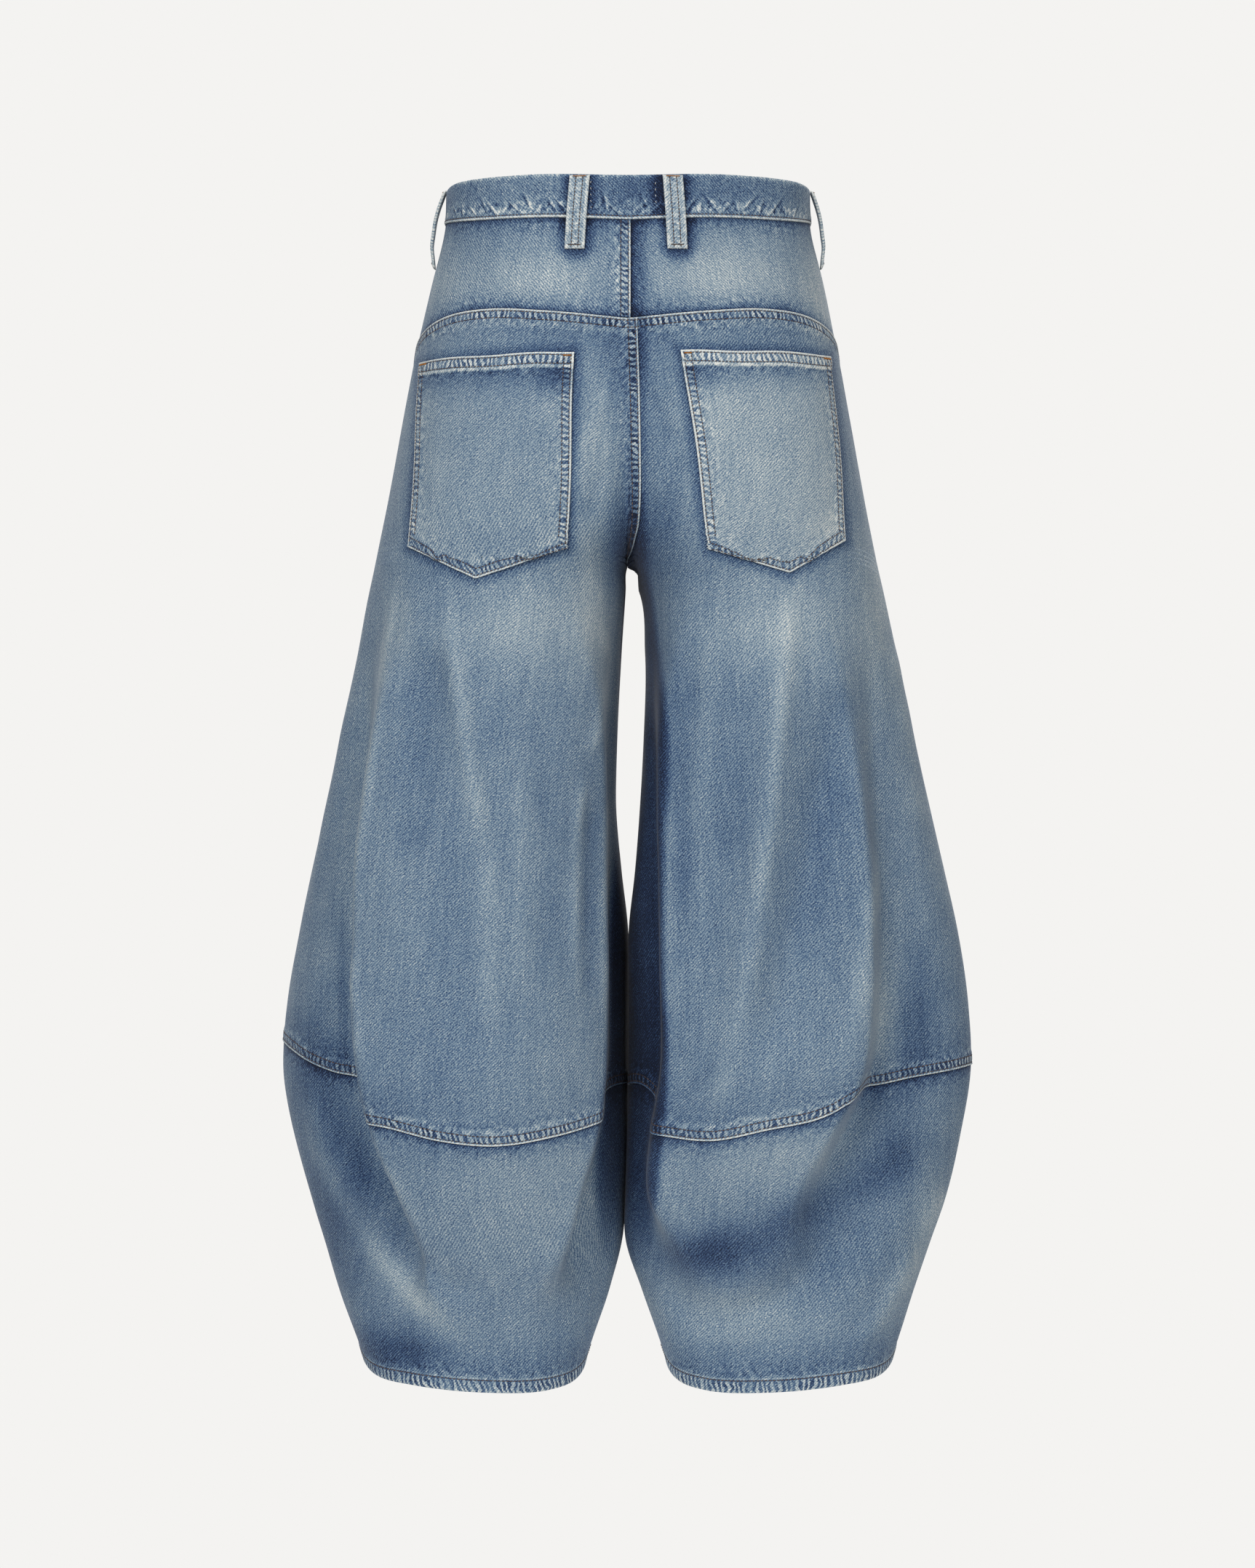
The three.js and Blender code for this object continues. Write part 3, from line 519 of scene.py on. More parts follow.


# On the front: paler thighs from the wash, and a darker spot at the crotch.
FRONT_PALE_AND_DARK_PLACES = [((90, -150), (55, 110), 0.1), ((105, -400), (55, 150), 0.14), ((14, -275), (22, 36), -0.2)]
FADE_AND_SHADE_PLACES = {  # middle, radii and strength of broad paler or darker places: wash fade, and painted light and shade
    ("left", "back"): [
        ((60, -62), (50, 22), 0.07),
        ((95, -66), (66, 30), 0.11),
        ((148, -60), (18, 30), 0.07),
        ((28, -332), (15, 46), 0.16),
        ((8, -130), (13, 30), -0.08),
        ((22, -200), (18, 70), 0.13),
        ((6, -280), (13, 32), -0.26),
        ((95, -342), (55, 36), 0.13),
        ((140, -560), (26, 90), -0.05),
        ((168, -450), (20, 90), -0.03),
        ((70, -520), (26, 80), 0.05),
        ((100, -800), (60, 60), 0.08),
        ((184, -927), (38, 20), -0.22),
        ((254, -706), (26, 60), -0.17),
        ((182, -345), (14, 50), 0.1),
        ((236, -806), (34, 80), -0.24),
    ],
    ("right", "back"): [
        ((80, -62), (62, 28), 0.17),
        ((158, -80), (16, 60), 0.18),
        ((8, -130), (14, 30), -0.12),
        ((204, -320), (20, 80), 0.13),
        ((30, -62), (14, 40), -0.02),
        ((24, -180), (14, 60), -0.03),
        ((6, -284), (13, 40), -0.32),
        ((30, -262), (12, 44), -0.12),
        ((43, -540), (10, 80), -0.14),
        ((110, -342), (60, 36), 0.13),
        ((40, -420), (20, 60), -0.06),
        ((158, -470), (24, 100), -0.02),
        ((207, -650), (15, 46), 0.13),
        ((229, -664), (16, 50), -0.15),
        ((200, -722), (24, 20), -0.12),
        ((86, -480), (30, 80), -0.05),
        ((250, -640), (30, 80), -0.05),
        ((115, -765), (60, 24), 0.1),
        ((205, -770), (34, 36), -0.09),
        ((60, -850), (44, 20), -0.24),
        ((120, -840), (60, 26), -0.08),
        ((110, -902), (56, 24), 0.09),
        ((240, -810), (12, 50), 0.04),
    ],
    ("left", "front"): FRONT_PALE_AND_DARK_PLACES,
    ("right", "front"): FRONT_PALE_AND_DARK_PLACES,
}
RECESS_SHADE_AND_FADE = {  # height, darkening in the deep fold at the inseam, painted shade with less fading, and how wide it is
    "left": [(-440, 0, 6), (-500, -0.1, 8), (-560, -0.4, 13), (-720, -0.42, 18), (-780, -0.32, 26),
             (-820, -0.2, 24), (-870, 0, 17)],
    "right": [(-292, -0.15, 15), (-330, -0.34, 21), (-380, -0.36, 28), (-440, -0.38, 33), (-510, -0.42, 30),
              (-600, -0.44, 29), (-700, -0.44, 31), (-760, -0.38, 27), (-820, -0.26, 21), (-870, 0, 17)],
}
BASE_FADE = 0.54


def broad_fade_and_shade(leg, face, x, z, seed):
    """The fade of plain cloth, from 0, dark indigo, to 1, nearly white, with painted light and shade in broad
    places and painted shade in the deep fold at the inseam.
    """
    fade_and_shade = BASE_FADE + 0.03 * np.sin(x / 37 + seed) * np.sin(z / 61 + 2 * seed)
    for (mid_x, mid_z), (wide, high), strength in FADE_AND_SHADE_PLACES[leg, face]:
        fade_and_shade = fade_and_shade + strength * np.exp(-(((x - mid_x) / wide) ** 2) - ((z - mid_z) / high) ** 2)
    recess_shade, wide = (through(RECESS_SHADE_AND_FADE[leg], k, z) for k in (1, 2))
    return fade_and_shade + recess_shade * smooth((wide - x) / 8 + 0.5)


# Finer creases, which the wash has bleached on top or left dark in the bottom, with a painted highlight along
# their tops and painted shade along their bottoms: three places that each runs through, its width, its lift
# and the change of fade and painted shading along it.
CREASES = {
    ("left", "back"): [
        ((186, -300), (203, -430), (224, -600), 4.5, 1.8, 0.11),
        ((194, -300), (212, -440), (230, -600), 11, 0.8, 0.02),
        ((219, -598), (217, -650), (206, -712), 4.5, 1.6, 0.09),
        ((231, -560), (230, -650), (223, -718), 4.5, -0.6, -0.13),
        ((145, -305), (128, -431), (112, -530), 8, 1.6, 0.13),
        ((114, -500), (108, -600), (112, -668), 9, 1.8, 0.1),
        ((158, -350), (167, -440), (172, -545), 18, -2.2, -0.06),
        ((19, -330), (20, -400), (33, -452), 4.5, 1.4, 0.12),
        ((34, -450), (41, -540), (40, -655), 4.5, 1.8, 0.13),
        ((27, -470), (30, -560), (29, -650), 6, -1.6, -0.09),
        ((16, -485), (18, -560), (17, -690), 3, 0.8, 0.12),
        ((70, -380), (64, -520), (62, -640), 13, -1.2, -0.05),
        ((84, -420), (82, -540), (86, -640), 8, 1.0, 0.05),
        ((258, -700), (224, -818), (110, -938), 11, 1.6, 0.2),
        ((228, -728), (196, -812), (160, -868), 13, -1.8, -0.1),
        ((207, -738), (190, -775), (157, -838), 4, 1.2, 0.1),
        ((10, -150), (30, -190), (44, -250), 7, 1.2, 0.05),
        ((14, -208), (26, -236), (30, -262), 6, -1.2, -0.06),
    ],
    ("right", "back"): [
        ((131, -300), (118, -450), (98, -605), 8, 2.2, 0.15),
        ((100, -590), (86, -660), (66, -742), 8, 1.4, 0.09),
        ((64, -350), (62, -420), (50, -520), 7, 1.4, 0.07),
        ((204, -515), (190, -595), (178, -690), 7, 1.6, 0.11),
        ((216, -350), (226, -430), (240, -520), 7, 1.4, 0.09),
        ((170, -375), (160, -480), (134, -620), 18, -2.2, -0.07),
        ((38, -470), (34, -560), (36, -660), 8, 1.2, 0.06),
        ((84, -430), (72, -540), (60, -640), 11, -1.2, -0.05),
        ((70, -690), (52, -708), (40, -722), 5, -1.4, -0.07),
        ((258, -785), (236, -850), (186, -928), 10, 1.8, 0.15),
        ((252, -742), (160, -806), (20, -852), 18, -1.6, -0.17),
        ((28, -760), (34, -800), (58, -832), 6, 1.2, 0.05),
        ((10, -148), (34, -190), (40, -230), 6, -1.6, -0.08),
        ((42, -168), (36, -206), (20, -250), 6, 1.4, 0.06),
        ((24, -110), (36, -118), (44, -130), 4, -1, -0.06),
    ],
    ("left", "front"): [
        ((60, -60), (100, -84), (140, -96), 8, -1.2, -0.05),
        ((10, -215), (44, -236), (84, -262), 5, 1.4, 0.1),
        ((12, -240), (48, -262), (92, -282), 5, -1.4, -0.08),
        ((14, -262), (46, -290), (80, -318), 5, 1.4, 0.1),
        ((186, -300), (200, -440), (216, -600), 6, 1.6, 0.1),
        ((130, -300), (122, -440), (104, -620), 9, 1.4, 0.1),
        ((76, -380), (70, -500), (84, -640), 10, -1.4, -0.06),
        ((240, -730), (200, -830), (120, -900), 9, 1.4, 0.09),
    ],
    ("right", "front"): [
        ((60, -56), (104, -80), (142, -98), 8, -1.2, -0.05),
        ((8, -210), (46, -230), (88, -252), 5, 1.4, 0.1),
        ((12, -236), (50, -256), (94, -272), 5, -1.4, -0.08),
        ((14, -258), (44, -288), (84, -310), 5, 1.4, 0.1),
        ((190, -320), (204, -460), (212, -600), 6, 1.6, 0.1),
        ((126, -290), (130, -440), (120, -630), 9, 1.4, 0.1),
        ((66, -400), (74, -520), (90, -650), 10, -1.4, -0.06),
        ((236, -740), (190, -840), (110, -905), 9, 1.4, 0.09),
    ],
}
CREASE_FADE_AND_SHADING = 0.9


def creased(leg, face, x, z):
    """The lift of the finer creases and the change along them of fade, with painted highlight and shade."""
    lift, fade_and_shade = np.zeros(np.shape(x)), np.zeros(np.shape(x))
    for *places, width, height, change in CREASES[leg, face]:
        corners = np.array(places)
        near = (z < corners[:, 1].max() + 3 * width) & (z > corners[:, 1].min() - 3 * width)
        away, along = along_fold(places, x[near], z[near])
        shape = smooth(along * 5) * smooth((1 - along) * 5) * peak(away, width)
        shape *= 0.8 + 0.2 * np.sin(along * 17 + height * 9)
        lift[near] += height * shape
        fade_and_shade[near] += CREASE_FADE_AND_SHADING * change * shape
    return lift, fade_and_shade


def spread(stops_start, stops_end, pitch, length):
    """Stops along a stretch, given as (fixed, share) pairs: fine ones near either end and even ones between.
    A stop lies at fixed + share * length."""
    from_start = [(s, 0) for s in stops_start]
    from_end = [(-s, 1) for s in reversed(stops_end)]
    first, last = stops_start[-1], stops_end[-1]
    count = max(2, round((length - first - last) / pitch))
    between = [(first - t * (first + last), t) for t in np.arange(1, count) / count]
    return np.array(from_start + between + from_end)


def mark_wear_and_shade(mesh, tiles):
    """Gives each point its place on the cloth, its fade and painted shading, and the strength of its ladder
    and worn marks.
    """
    place = np.zeros((len(tiles), 3), np.float32)
    place[:, :2] = tiles[:, :2]
    mesh.attributes.new("cloth_place", "FLOAT_VECTOR", "POINT").data.foreach_set("vector", place.ravel())
    marks = tiles[:, 3:6].astype(np.float32)
    mesh.attributes.new("marks", "FLOAT_VECTOR", "POINT").data.foreach_set("vector", marks.ravel())
    fade_and_shade = tiles[:, 2].astype(np.float32)
    mesh.attributes.new("fade_and_shade", "FLOAT", "POINT").data.foreach_set("value", fade_and_shade)


def quads_of(grid):
    """The four corners of each cell of a grid of point numbers."""
    return np.stack([grid[:-1, :-1], grid[1:, :-1], grid[1:, 1:], grid[:-1, 1:]], axis=-1).reshape(-1, 4)


def shell(name, outer, inner, tiles):
    """A thin cloth shell between an outer and an inner grid of points. tiles are two surface coordinates in
    millimetres, the fade with its painted shading, and the strength of ladder and worn marks, for each point
    of the outer grid. The inner face has the second material."""
    rows, columns = outer.shape[:2]
    count = rows * columns
    grid = np.arange(count).reshape(rows, columns)
    quads = quads_of(grid)
    rims = [(grid[0, 1:], grid[0, :-1]), (grid[-1, :-1], grid[-1, 1:])]
    rims += [(grid[:-1, 0], grid[1:, 0]), (grid[1:, -1], grid[:-1, -1])]
    rim_quads = [np.stack([b, a, a + count, b + count], axis=-1) for a, b in rims]
    faces = np.concatenate([quads, *rim_quads, quads[:, ::-1] + count])
    points = np.concatenate([outer.reshape(-1, 3), inner.reshape(-1, 3)]) * MM
    middle = quads[len(quads) // 2 : len(quads) // 2 + 1]
    a, b, c, d = (points[middle[0, k]] for k in range(4))
    outward = points[middle[0, 0]] - points[middle[0, 0] + count]
    if np.dot(np.cross(c - a, d - b), outward) < 0:
        faces = faces[:, ::-1]
    mesh = bpy.data.meshes.new(name)
    mesh.vertices.add(len(points))
    mesh.vertices.foreach_set("co", points.ravel())
    mesh.loops.add(faces.size)
    mesh.loops.foreach_set("vertex_index", faces.ravel())
    mesh.polygons.add(len(faces))
    mesh.polygons.foreach_set("loop_start", np.arange(0, faces.size, 4))
    mesh.update(calc_edges=True)
    mesh.validate()
    mesh.polygons.foreach_set("use_smooth", np.ones(len(mesh.polygons), bool))
    inside = np.zeros(len(mesh.polygons), np.int32)
    inside[len(faces) - len(quads) :] = 1
    mesh.polygons.foreach_set("material_index", inside)
    mark_wear_and_shade(mesh, np.tile(tiles.reshape(-1, tiles.shape[-1]), (2, 1)))
    return into_scene(name, mesh)


BACK_PITCH, FRONT_PITCH = 3.1, 3.6  # width of the even columns of a panel
SIDE_EDGE = PLAIN_STOPS[-1]
MEET_ROUNDS = 8
CALM_SEAM, CALM_SIDE, CALM_MIDDLE = 22, 24, 18  # folds die out over these distances from an edge


def panel(leg, face, top, bottom, laps, pitch=BACK_PITCH, fine=(), seed=0.0, over=None):
    """A cloth panel between two seam lines: its outer and inner points, surface coordinates and distances.
    top and bottom give the height of a seam at a share of the way across. laps says what each edge is: lap,
    hem, under a lap, or plain. over says how far past the middle plane a lap at the middle lies."""
    stops_of = {"lap": LAP_STOPS, "hem": LAP_STOPS, "under": PLAIN_STOPS, "plain": PLAIN_STOPS}
    marks_of = {"lap": LAP_MARKS, "hem": HEM_MARKS, "under": SHADOW_AND_RUB_MARKS, "plain": PLAIN_MARKS}
    middle_z = float(top(0.5) + bottom(0.5)) / 2
    total, crown = length_at(leg, face, middle_z)
    start = stops_of[laps["middle"]]
    inner_count = max(4, round((crown - start[-1]) / pitch))
    outer_count = max(6, round((total - crown - SIDE_EDGE) / pitch))
    stops = [(s, 0, 0) for s in start]
    stops += [(start[-1] * (1 - t), t, 0) for t in np.arange(1, inner_count) / inner_count]
    stops += [(-SIDE_EDGE * t, 1 - t, t) for t in np.arange(0, outer_count) / outer_count]
    stops += [(-s, 0, 1) for s in reversed(PLAIN_STOPS)]
    fixed, of_crown, of_total = np.array(stops).T

    def distance(z):
        """How far each column lies from the middle or the inseam, at heights."""
        total, crown = length_at(leg, face, z)
        reach = over(z) if over else 0
        return fixed + of_crown * crown + of_total * total - reach * (1 - of_crown - of_total)

    def meets(seam):
        """The height at which each column meets a seam."""
        z = np.full(len(stops), float(seam(0.5)))
        for _ in range(MEET_ROUNDS):
            z = seam(np.maximum(0, distance(z)) / length_at(leg, face, z)[0])
        return z

    upper, lower = meets(top), meets(bottom)
    length = upper - lower
    drops = spread(stops_of[laps["top"]], stops_of[laps["bottom"]], pitch * 1.3, float(np.mean(length)))
    if len(fine):
        drops = np.concatenate([drops, [(0, s) for s in fine]])
        drops = drops[np.argsort(drops[:, 0] + drops[:, 1] * np.mean(length))]
    drop = np.maximum.accumulate(drops[:, :1] + drops[:, 1:] * length[None, :], axis=0)
    z = upper[None, :] - drop
    total = length_at(leg, face, z)[0]
    away = np.stack([distance(row) for row in z])
    points, normals = cloth_at(leg, face, np.maximum(away, 0) / total, z)
    past = away < 0
    if past.any():
        other = "right" if leg == "left" else "left"
        beyond = np.abs(away[past]) / length_at(other, face, z[past])[0]
        points[past], normals[past] = cloth_at(other, face, beyond, z[past])
    x = np.abs(points[..., 0])
    rest = length[None, :] - drop
    high = z > CROTCH_Z

    crease_lift, crease_fade_and_shading = creased(leg, face, x, z)
    across = seen_across(leg, face, away, z)
    to_seam = np.minimum(drop, rest)
    calm = smooth(to_seam / CALM_SEAM) * smooth((total - away) / CALM_SIDE) * smooth(away / CALM_MIDDLE)
    lift = (waves(across, z, seed) + crease_lift) * calm
    fade_and_shade = broad_fade_and_shade(leg, face, x, z, seed) + crease_fade_and_shading * smooth(to_seam / 8)
    ladder_across, ladder_down, rub = np.zeros((3, *z.shape))
    from_fold = away + (over(z) if over else 0)
    for edge, gap_to in (("top", drop), ("bottom", rest), ("middle", from_fold), ("side", total - away)):
        kind = laps.get(edge, "plain")
        if edge == "middle":
            shown = smooth((z - CROTCH_Z) / 6)
        else:
            shown = 1 if edge == "side" else np.where(high, 1, smooth(away / 20))
        if kind in ("lap", "hem"):
            lift = lift + shown * read(gap_to, LAP_PROFILE if kind == "lap" else HEM_PROFILE)
        pale, ladder, streaks = marks_at(marks_of[kind], gap_to)
        fade_and_shade = fade_and_shade + shown * pale
        rub = np.maximum(rub, shown * streaks)
        if edge == "middle":
            ladder_down = shown * ladder
        else:
            ladder_across = np.maximum(ladder_across, shown * ladder)

    on_other = smooth((3 - away) / 6) * smooth(from_fold / 0.6 + 0.5) if over else 0 * z
    outer = points + normals * (lift + 0.6 * on_other * high)[..., None]
    depth = np.where(past, np.maximum(lift - 0.3, 0.15), np.minimum(lift, 0) - CLOTH_THICK)
    inner = points + normals * depth[..., None]
    sign = LEG_SIGN[leg]
    for grid in (outer, inner):
        own_side = sign * np.maximum(SEAM_GAP / 2, sign * grid[..., 0])
        grid[..., 0] = np.where(high & ~past, own_side, grid[..., 0])
    tiles = np.stack([across, z, np.clip(fade_and_shade, 0, 1), ladder_across, ladder_down, rub], axis=-1)
    return {"outer": outer, "inner": inner, "tiles": tiles, "normals": normals, "drop": drop, "rest": rest,
            "away": from_fold, "z": z}


def read_line(at, run, field):
    """Points or normals of a line at places along it. run says how far along each of its points lies."""
    return np.stack([np.interp(at, run, field[:, k]) for k in range(3)], axis=-1)


def run_along(points, axis=0):
    """How far along a line, or along the rows or columns of a grid, each point lies."""
    steps = np.linalg.norm(np.diff(points, axis=axis), axis=-1)
    start = np.zeros_like(np.take(steps, [0], axis=axis))
    return np.concatenate([start, np.cumsum(steps, axis=axis)], axis=axis)


def row_across(made, edge, distance):
    """The line on a panel at a distance from its top or bottom seam, with the normals along it."""
    key = made["drop"] if edge == "top" else made["rest"]
    line, normals = [], []
    for c in range(key.shape[1]):
        order = np.argsort(key[:, c])
        line.append(read_line(distance, key[order, c], made["outer"][order, c]))
        normals.append(read_line(distance, key[order, c], made["normals"][order, c]))
    return np.array(line), np.array(normals)


def row_down(made, distance, low=None):
    """The line on a panel at a distance from the middle, from the top seam down to a height."""
    line, normals = [], []
    for r in range(len(made["away"])):
        spot = read_line(distance, made["away"][r], made["outer"][r])
        if low is not None and spot[2] < low + 2:
            break
        line.append(spot)
        normals.append(read_line(distance, made["away"][r], made["normals"][r]))
    return np.array(line), np.array(normals)


# Topstitching is thick cotton-wrapped polyester, about three stitches to the centimetre. Each stitch is a
# short thread that dips into the cloth at both ends.
STITCH_PITCH = 3.3
STITCH_LONG = 2.9
THREAD_RADIUS = 0.42
STITCH_SIDES = 5
FINE_STITCH = {"pitch": 2.9, "long": 2.4}
STITCH_SHAPE = [(0, 0.3, -0.3), (0.14, 0.8, 0.1), (0.5, 1, 0.3), (0.86, 0.8, 0.1), (1, 0.3, -0.3)]


def stitches(name, lines, material, pitch=STITCH_PITCH, long=STITCH_LONG, radius=THREAD_RADIUS, slot="denim"):
    """Rows of stitches along lines on the cloth, joined in one mesh."""
    rings, faces = [], []
    ring_count = len(STITCH_SHAPE)
    angle = np.arange(STITCH_SIDES) * 2 * np.pi / STITCH_SIDES
    for line, normals in lines:
        run = run_along(line)
        for start in np.arange(0.15, run[-1] - long, pitch):
            spine = read_line(start + long * np.array([s[0] for s in STITCH_SHAPE]), run, line)
            up = read_line(start + long / 2, run, normals)
            up /= np.linalg.norm(up)
            along = spine[-1] - spine[0]
            along /= np.linalg.norm(along) + 1e-9
            beside = np.cross(up, along)
            base = len(rings) * STITCH_SIDES
            for (_, wide, high), place in zip(STITCH_SHAPE, spine):
                middle = place + up * high
                around = np.cos(angle)[:, None] * beside + 0.8 * np.sin(angle)[:, None] * up
                rings.append(middle + around * radius * wide)
            for r in range(ring_count - 1):
                for s in range(STITCH_SIDES):
                    t = (s + 1) % STITCH_SIDES
                    a, b = base + r * STITCH_SIDES, base + (r + 1) * STITCH_SIDES
                    faces.append((a + s, b + s, b + t, a + t))
            faces.append(tuple(base + s for s in range(STITCH_SIDES)))
            base += (ring_count - 1) * STITCH_SIDES
            faces.append(tuple(base + s for s in reversed(range(STITCH_SIDES))))
    mesh = bpy.data.meshes.new(name)
    mesh.from_pydata((np.concatenate(rings) * MM).tolist(), [], faces)
    mesh.polygons.foreach_set("use_smooth", np.ones(len(mesh.polygons), bool))
    mesh.materials.append(material)
    piece = into_scene(name, mesh)
    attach(piece, "root")
    return piece


# Washed denim: a right-hand twill of indigo warp over undyed weft, stone-washed. The eye sees fine slanting
# lines, pale flecks where the weft shows, and slubs as faint upright streaks. The real twill line is about
# 1 mm wide. It is drawn twice as coarse, so that it shows. Beside seams the wash leaves a ladder of pale and
# dark rungs between the rows of stitches, and short worn streaks beyond them.
DENIM_COLOURS = [(0, "#0d172b"), (0.18, "#1f3050"), (0.36, "#3d5577"), (0.5, "#5e768e"), (0.6, "#778b9c"),
                 (0.72, "#94a4ae"), (0.85, "#b7bfc1"), (1, "#dfe0da")]
REVERSE_COLOURS = [(0, "#77879a"), (0.5, "#98a5b0"), (1, "#b9c0c4")]
TWILL_SPACING = 1.9
SLUB_ACROSS = 1.7
SLUB_LONG = 46
FLECK_SIZE = 1
RUNG_PITCH = 4.7


def washed_denim(name, colours, rises=1):
    """Denim that reads its fade with painted shading, and its marks, from the cloth. Its twill lines rise to
    the right, seen from the outside, where rises is 1, and to the left on cloth cut across."""
    settings = {"Roughness": 0.86, "Specular IOR Level": 0.2, "Sheen Weight": 0.1, "Sheen Roughness": 0.5}
    material, tree, shader = new_material(name, settings)
    place = add_node(tree, "ShaderNodeAttribute", {"attribute_name": "cloth_place"}).outputs["Vector"]
    fade_and_shade = add_node(tree, "ShaderNodeAttribute", {"attribute_name": "fade_and_shade"}).outputs["Fac"]
    marks = add_node(tree, "ShaderNodeAttribute", {"attribute_name": "marks"}).outputs["Vector"]
    split = add_node(tree, "ShaderNodeSeparateXYZ", inputs={0: marks})
    spot = add_node(tree, "ShaderNodeSeparateXYZ", inputs={0: place})

    def noise(across, up, detail, lean=0):
        """Noise on the cloth, in grains of a width and a height, leaning by an angle."""
        turned = place
        if lean:
            inputs = {"Vector": place, "Angle": lean}
            turned = add_node(tree, "ShaderNodeVectorRotate", {"rotation_type": "Z_AXIS"}, inputs).outputs[0]
        scaled = add_node(
            tree, "ShaderNodeVectorMath", {"operation": "MULTIPLY"}, {0: turned, 1: (1 / across, 1 / up, 0)}
        )
        return add_node(
            tree,
            "ShaderNodeTexNoise",
            inputs={"Vector": scaled.outputs[0], "Scale": 1, "Detail": detail, "Roughness": 0.6},
        ).outputs["Fac"]

    def calc(operation, first, second, third=0):
        """One step of arithmetic."""
        inputs = {0: first, 1: second, 2: third}
        return add_node(tree, "ShaderNodeMath", {"operation": operation}, inputs).outputs[0]

    def scaled_from(field, middle, strength):
        """How far a field is from its middle, times a strength."""
        return calc("MULTIPLY", calc("SUBTRACT", field, middle), strength)

    def rungs(along, across):
        """Pale and dark bars along a seam, uneven in width and slant."""
        wander = calc("MULTIPLY", noise(11, 11, 2), 14)
        slant = calc("MULTIPLY_ADD", across, 0.25, wander)
        wave = calc("SINE", calc("MULTIPLY_ADD", along, 2 * math.pi / RUNG_PITCH, slant), 0)
        sharp = add_node(
            tree,
            "ShaderNodeMapRange",
            {"interpolation_type": "SMOOTHSTEP"},
            {"Value": wave, "From Min": -0.3, "From Max": 0.45, "To Min": -0.22, "To Max": 0.2},
        ).outputs[0]
        return calc("MULTIPLY", sharp, calc("MULTIPLY_ADD", noise(16, 16, 1), 2.4, -0.3))

    flecks = noise(FLECK_SIZE, FLECK_SIZE, 2)
    grain = noise(2 * FLECK_SIZE, 2.6 * FLECK_SIZE, 2, -rises * math.pi / 4)
    slubs = noise(SLUB_ACROSS, SLUB_LONG, 3)
    slubs_wide = noise(7, 90, 2)
    mottle = noise(20, 26, 4)
    streaks = noise(1.6, 6, 2, 0.6)
    patches = noise(4.5, 5.5, 3)
    spacing = 2 * math.pi / TWILL_SPACING / math.sqrt(2)
    slant = (spacing, -rises * spacing, 0)
    lines = add_node(tree, "ShaderNodeVectorMath", {"operation": "DOT_PRODUCT"}, {0: place, 1: slant})
    wavering = calc("MULTIPLY_ADD", noise(5, 5, 2), 9, lines.outputs["Value"])
    twill = calc("SINE", wavering, 0)
    twill_shown = calc("MULTIPLY", twill, calc("MULTIPLY_ADD", mottle, 0.16, 0.025))

    value = calc("ADD", fade_and_shade, twill_shown)
    for field, middle, strength in (
        (flecks, 0.5, 1.05),
        (grain, 0.5, 0.5),
        (slubs, 0.5, 0.22),
        (slubs_wide, 0.5, 0.1),
        (mottle, 0.5, 0.14),
    ):
        value = calc("ADD", value, scaled_from(field, middle, strength))
    value = calc("MULTIPLY_ADD", split.outputs[0], rungs(spot.outputs[0], spot.outputs[1]), value)
    value = calc("MULTIPLY_ADD", split.outputs[1], rungs(spot.outputs[1], spot.outputs[0]), value)
    worn = calc("ADD", scaled_from(streaks, 0.48, 0.9), scaled_from(patches, 0.5, 1.2))
    value = calc("MULTIPLY_ADD", split.outputs[2], worn, value)
    ramp = add_node(tree, "ShaderNodeValToRGB", inputs={"Fac": value})
    while len(ramp.color_ramp.elements) < len(colours):
        ramp.color_ramp.elements.new(0.5)
    for stop, (position, colour) in zip(ramp.color_ramp.elements, colours):
        stop.position = position
        stop.color = linear(colour)
    tree.links.new(ramp.outputs["Color"], shader.inputs["Base Color"])
    weave = calc("MULTIPLY_ADD", twill, 0.25, flecks)
    puckered = calc("ADD", split.outputs[0], split.outputs[1])
    pucker_height = calc("MULTIPLY", rungs(spot.outputs[0], spot.outputs[1]), 3)
    weave = calc("MULTIPLY_ADD", puckered, pucker_height, weave)
    bump = add_node(tree, "ShaderNodeBump", inputs={"Height": weave, "Strength": 0.55, "Distance": 0.35 * MM})
    tree.links.new(bump.outputs["Normal"], shader.inputs["Normal"])
    return material


denim_length = washed_denim("washed_denim_cut_lengthwise", DENIM_COLOURS)
denim_cross = washed_denim("washed_denim_cut_crosswise", DENIM_COLOURS, -1)
denim_reverse = washed_denim("denim_reverse_side", REVERSE_COLOURS, -1)


def two_tones(tree, shader, scale, detail, positions, colours):
    """Mottles the base colour between two tones. Returns the noise that it comes from."""
    wear = add_node(tree, "ShaderNodeTexNoise", inputs={"Scale": scale, "Detail": detail}).outputs["Fac"]
    shade = add_node(tree, "ShaderNodeValToRGB", inputs={"Fac": wear})
    for stop, position, colour in zip(shade.color_ramp.elements, positions, colours):
        stop.position = position
        stop.color = linear(colour)
    tree.links.new(shade.outputs["Color"], shader.inputs["Base Color"])
    return wear


# Topstitch thread: brown polyester that the wash has greyed. The eye sees small dull beads.
def thread(name, darkest, palest):
    """Thread that wanders between two tones."""
    material, tree, shader = new_material(name, {"Roughness": 0.75, "Specular IOR Level": 0.2})
    two_tones(tree, shader, 90, 2, (0.3, 0.7), (darkest, palest))
    return material


brown_thread = thread("greyed_brown_topstitch_thread", "#3a2f2b", "#76645a")
orange_thread = thread("orange_bartack_thread", "#7d4c20", "#c08138")
white_thread = thread("white_tacking_thread", "#a5adb3", "#efefeb")


def line_through(rows):
    """The height of a seam as a function of the share of the way across."""
    return lambda share: through(rows, 1, share)


def finish_cloth(name, made, material, node):
    """Builds a cloth piece with its two materials, hides the solid that it replaces, and hangs it on the
    root.
    """
    piece = shell(name, made["outer"], made["inner"], made["tiles"])
    piece.data.materials.append(material)
    piece.data.materials.append(denim_reverse)
    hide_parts(node)
    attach(piece, "root")
    return piece


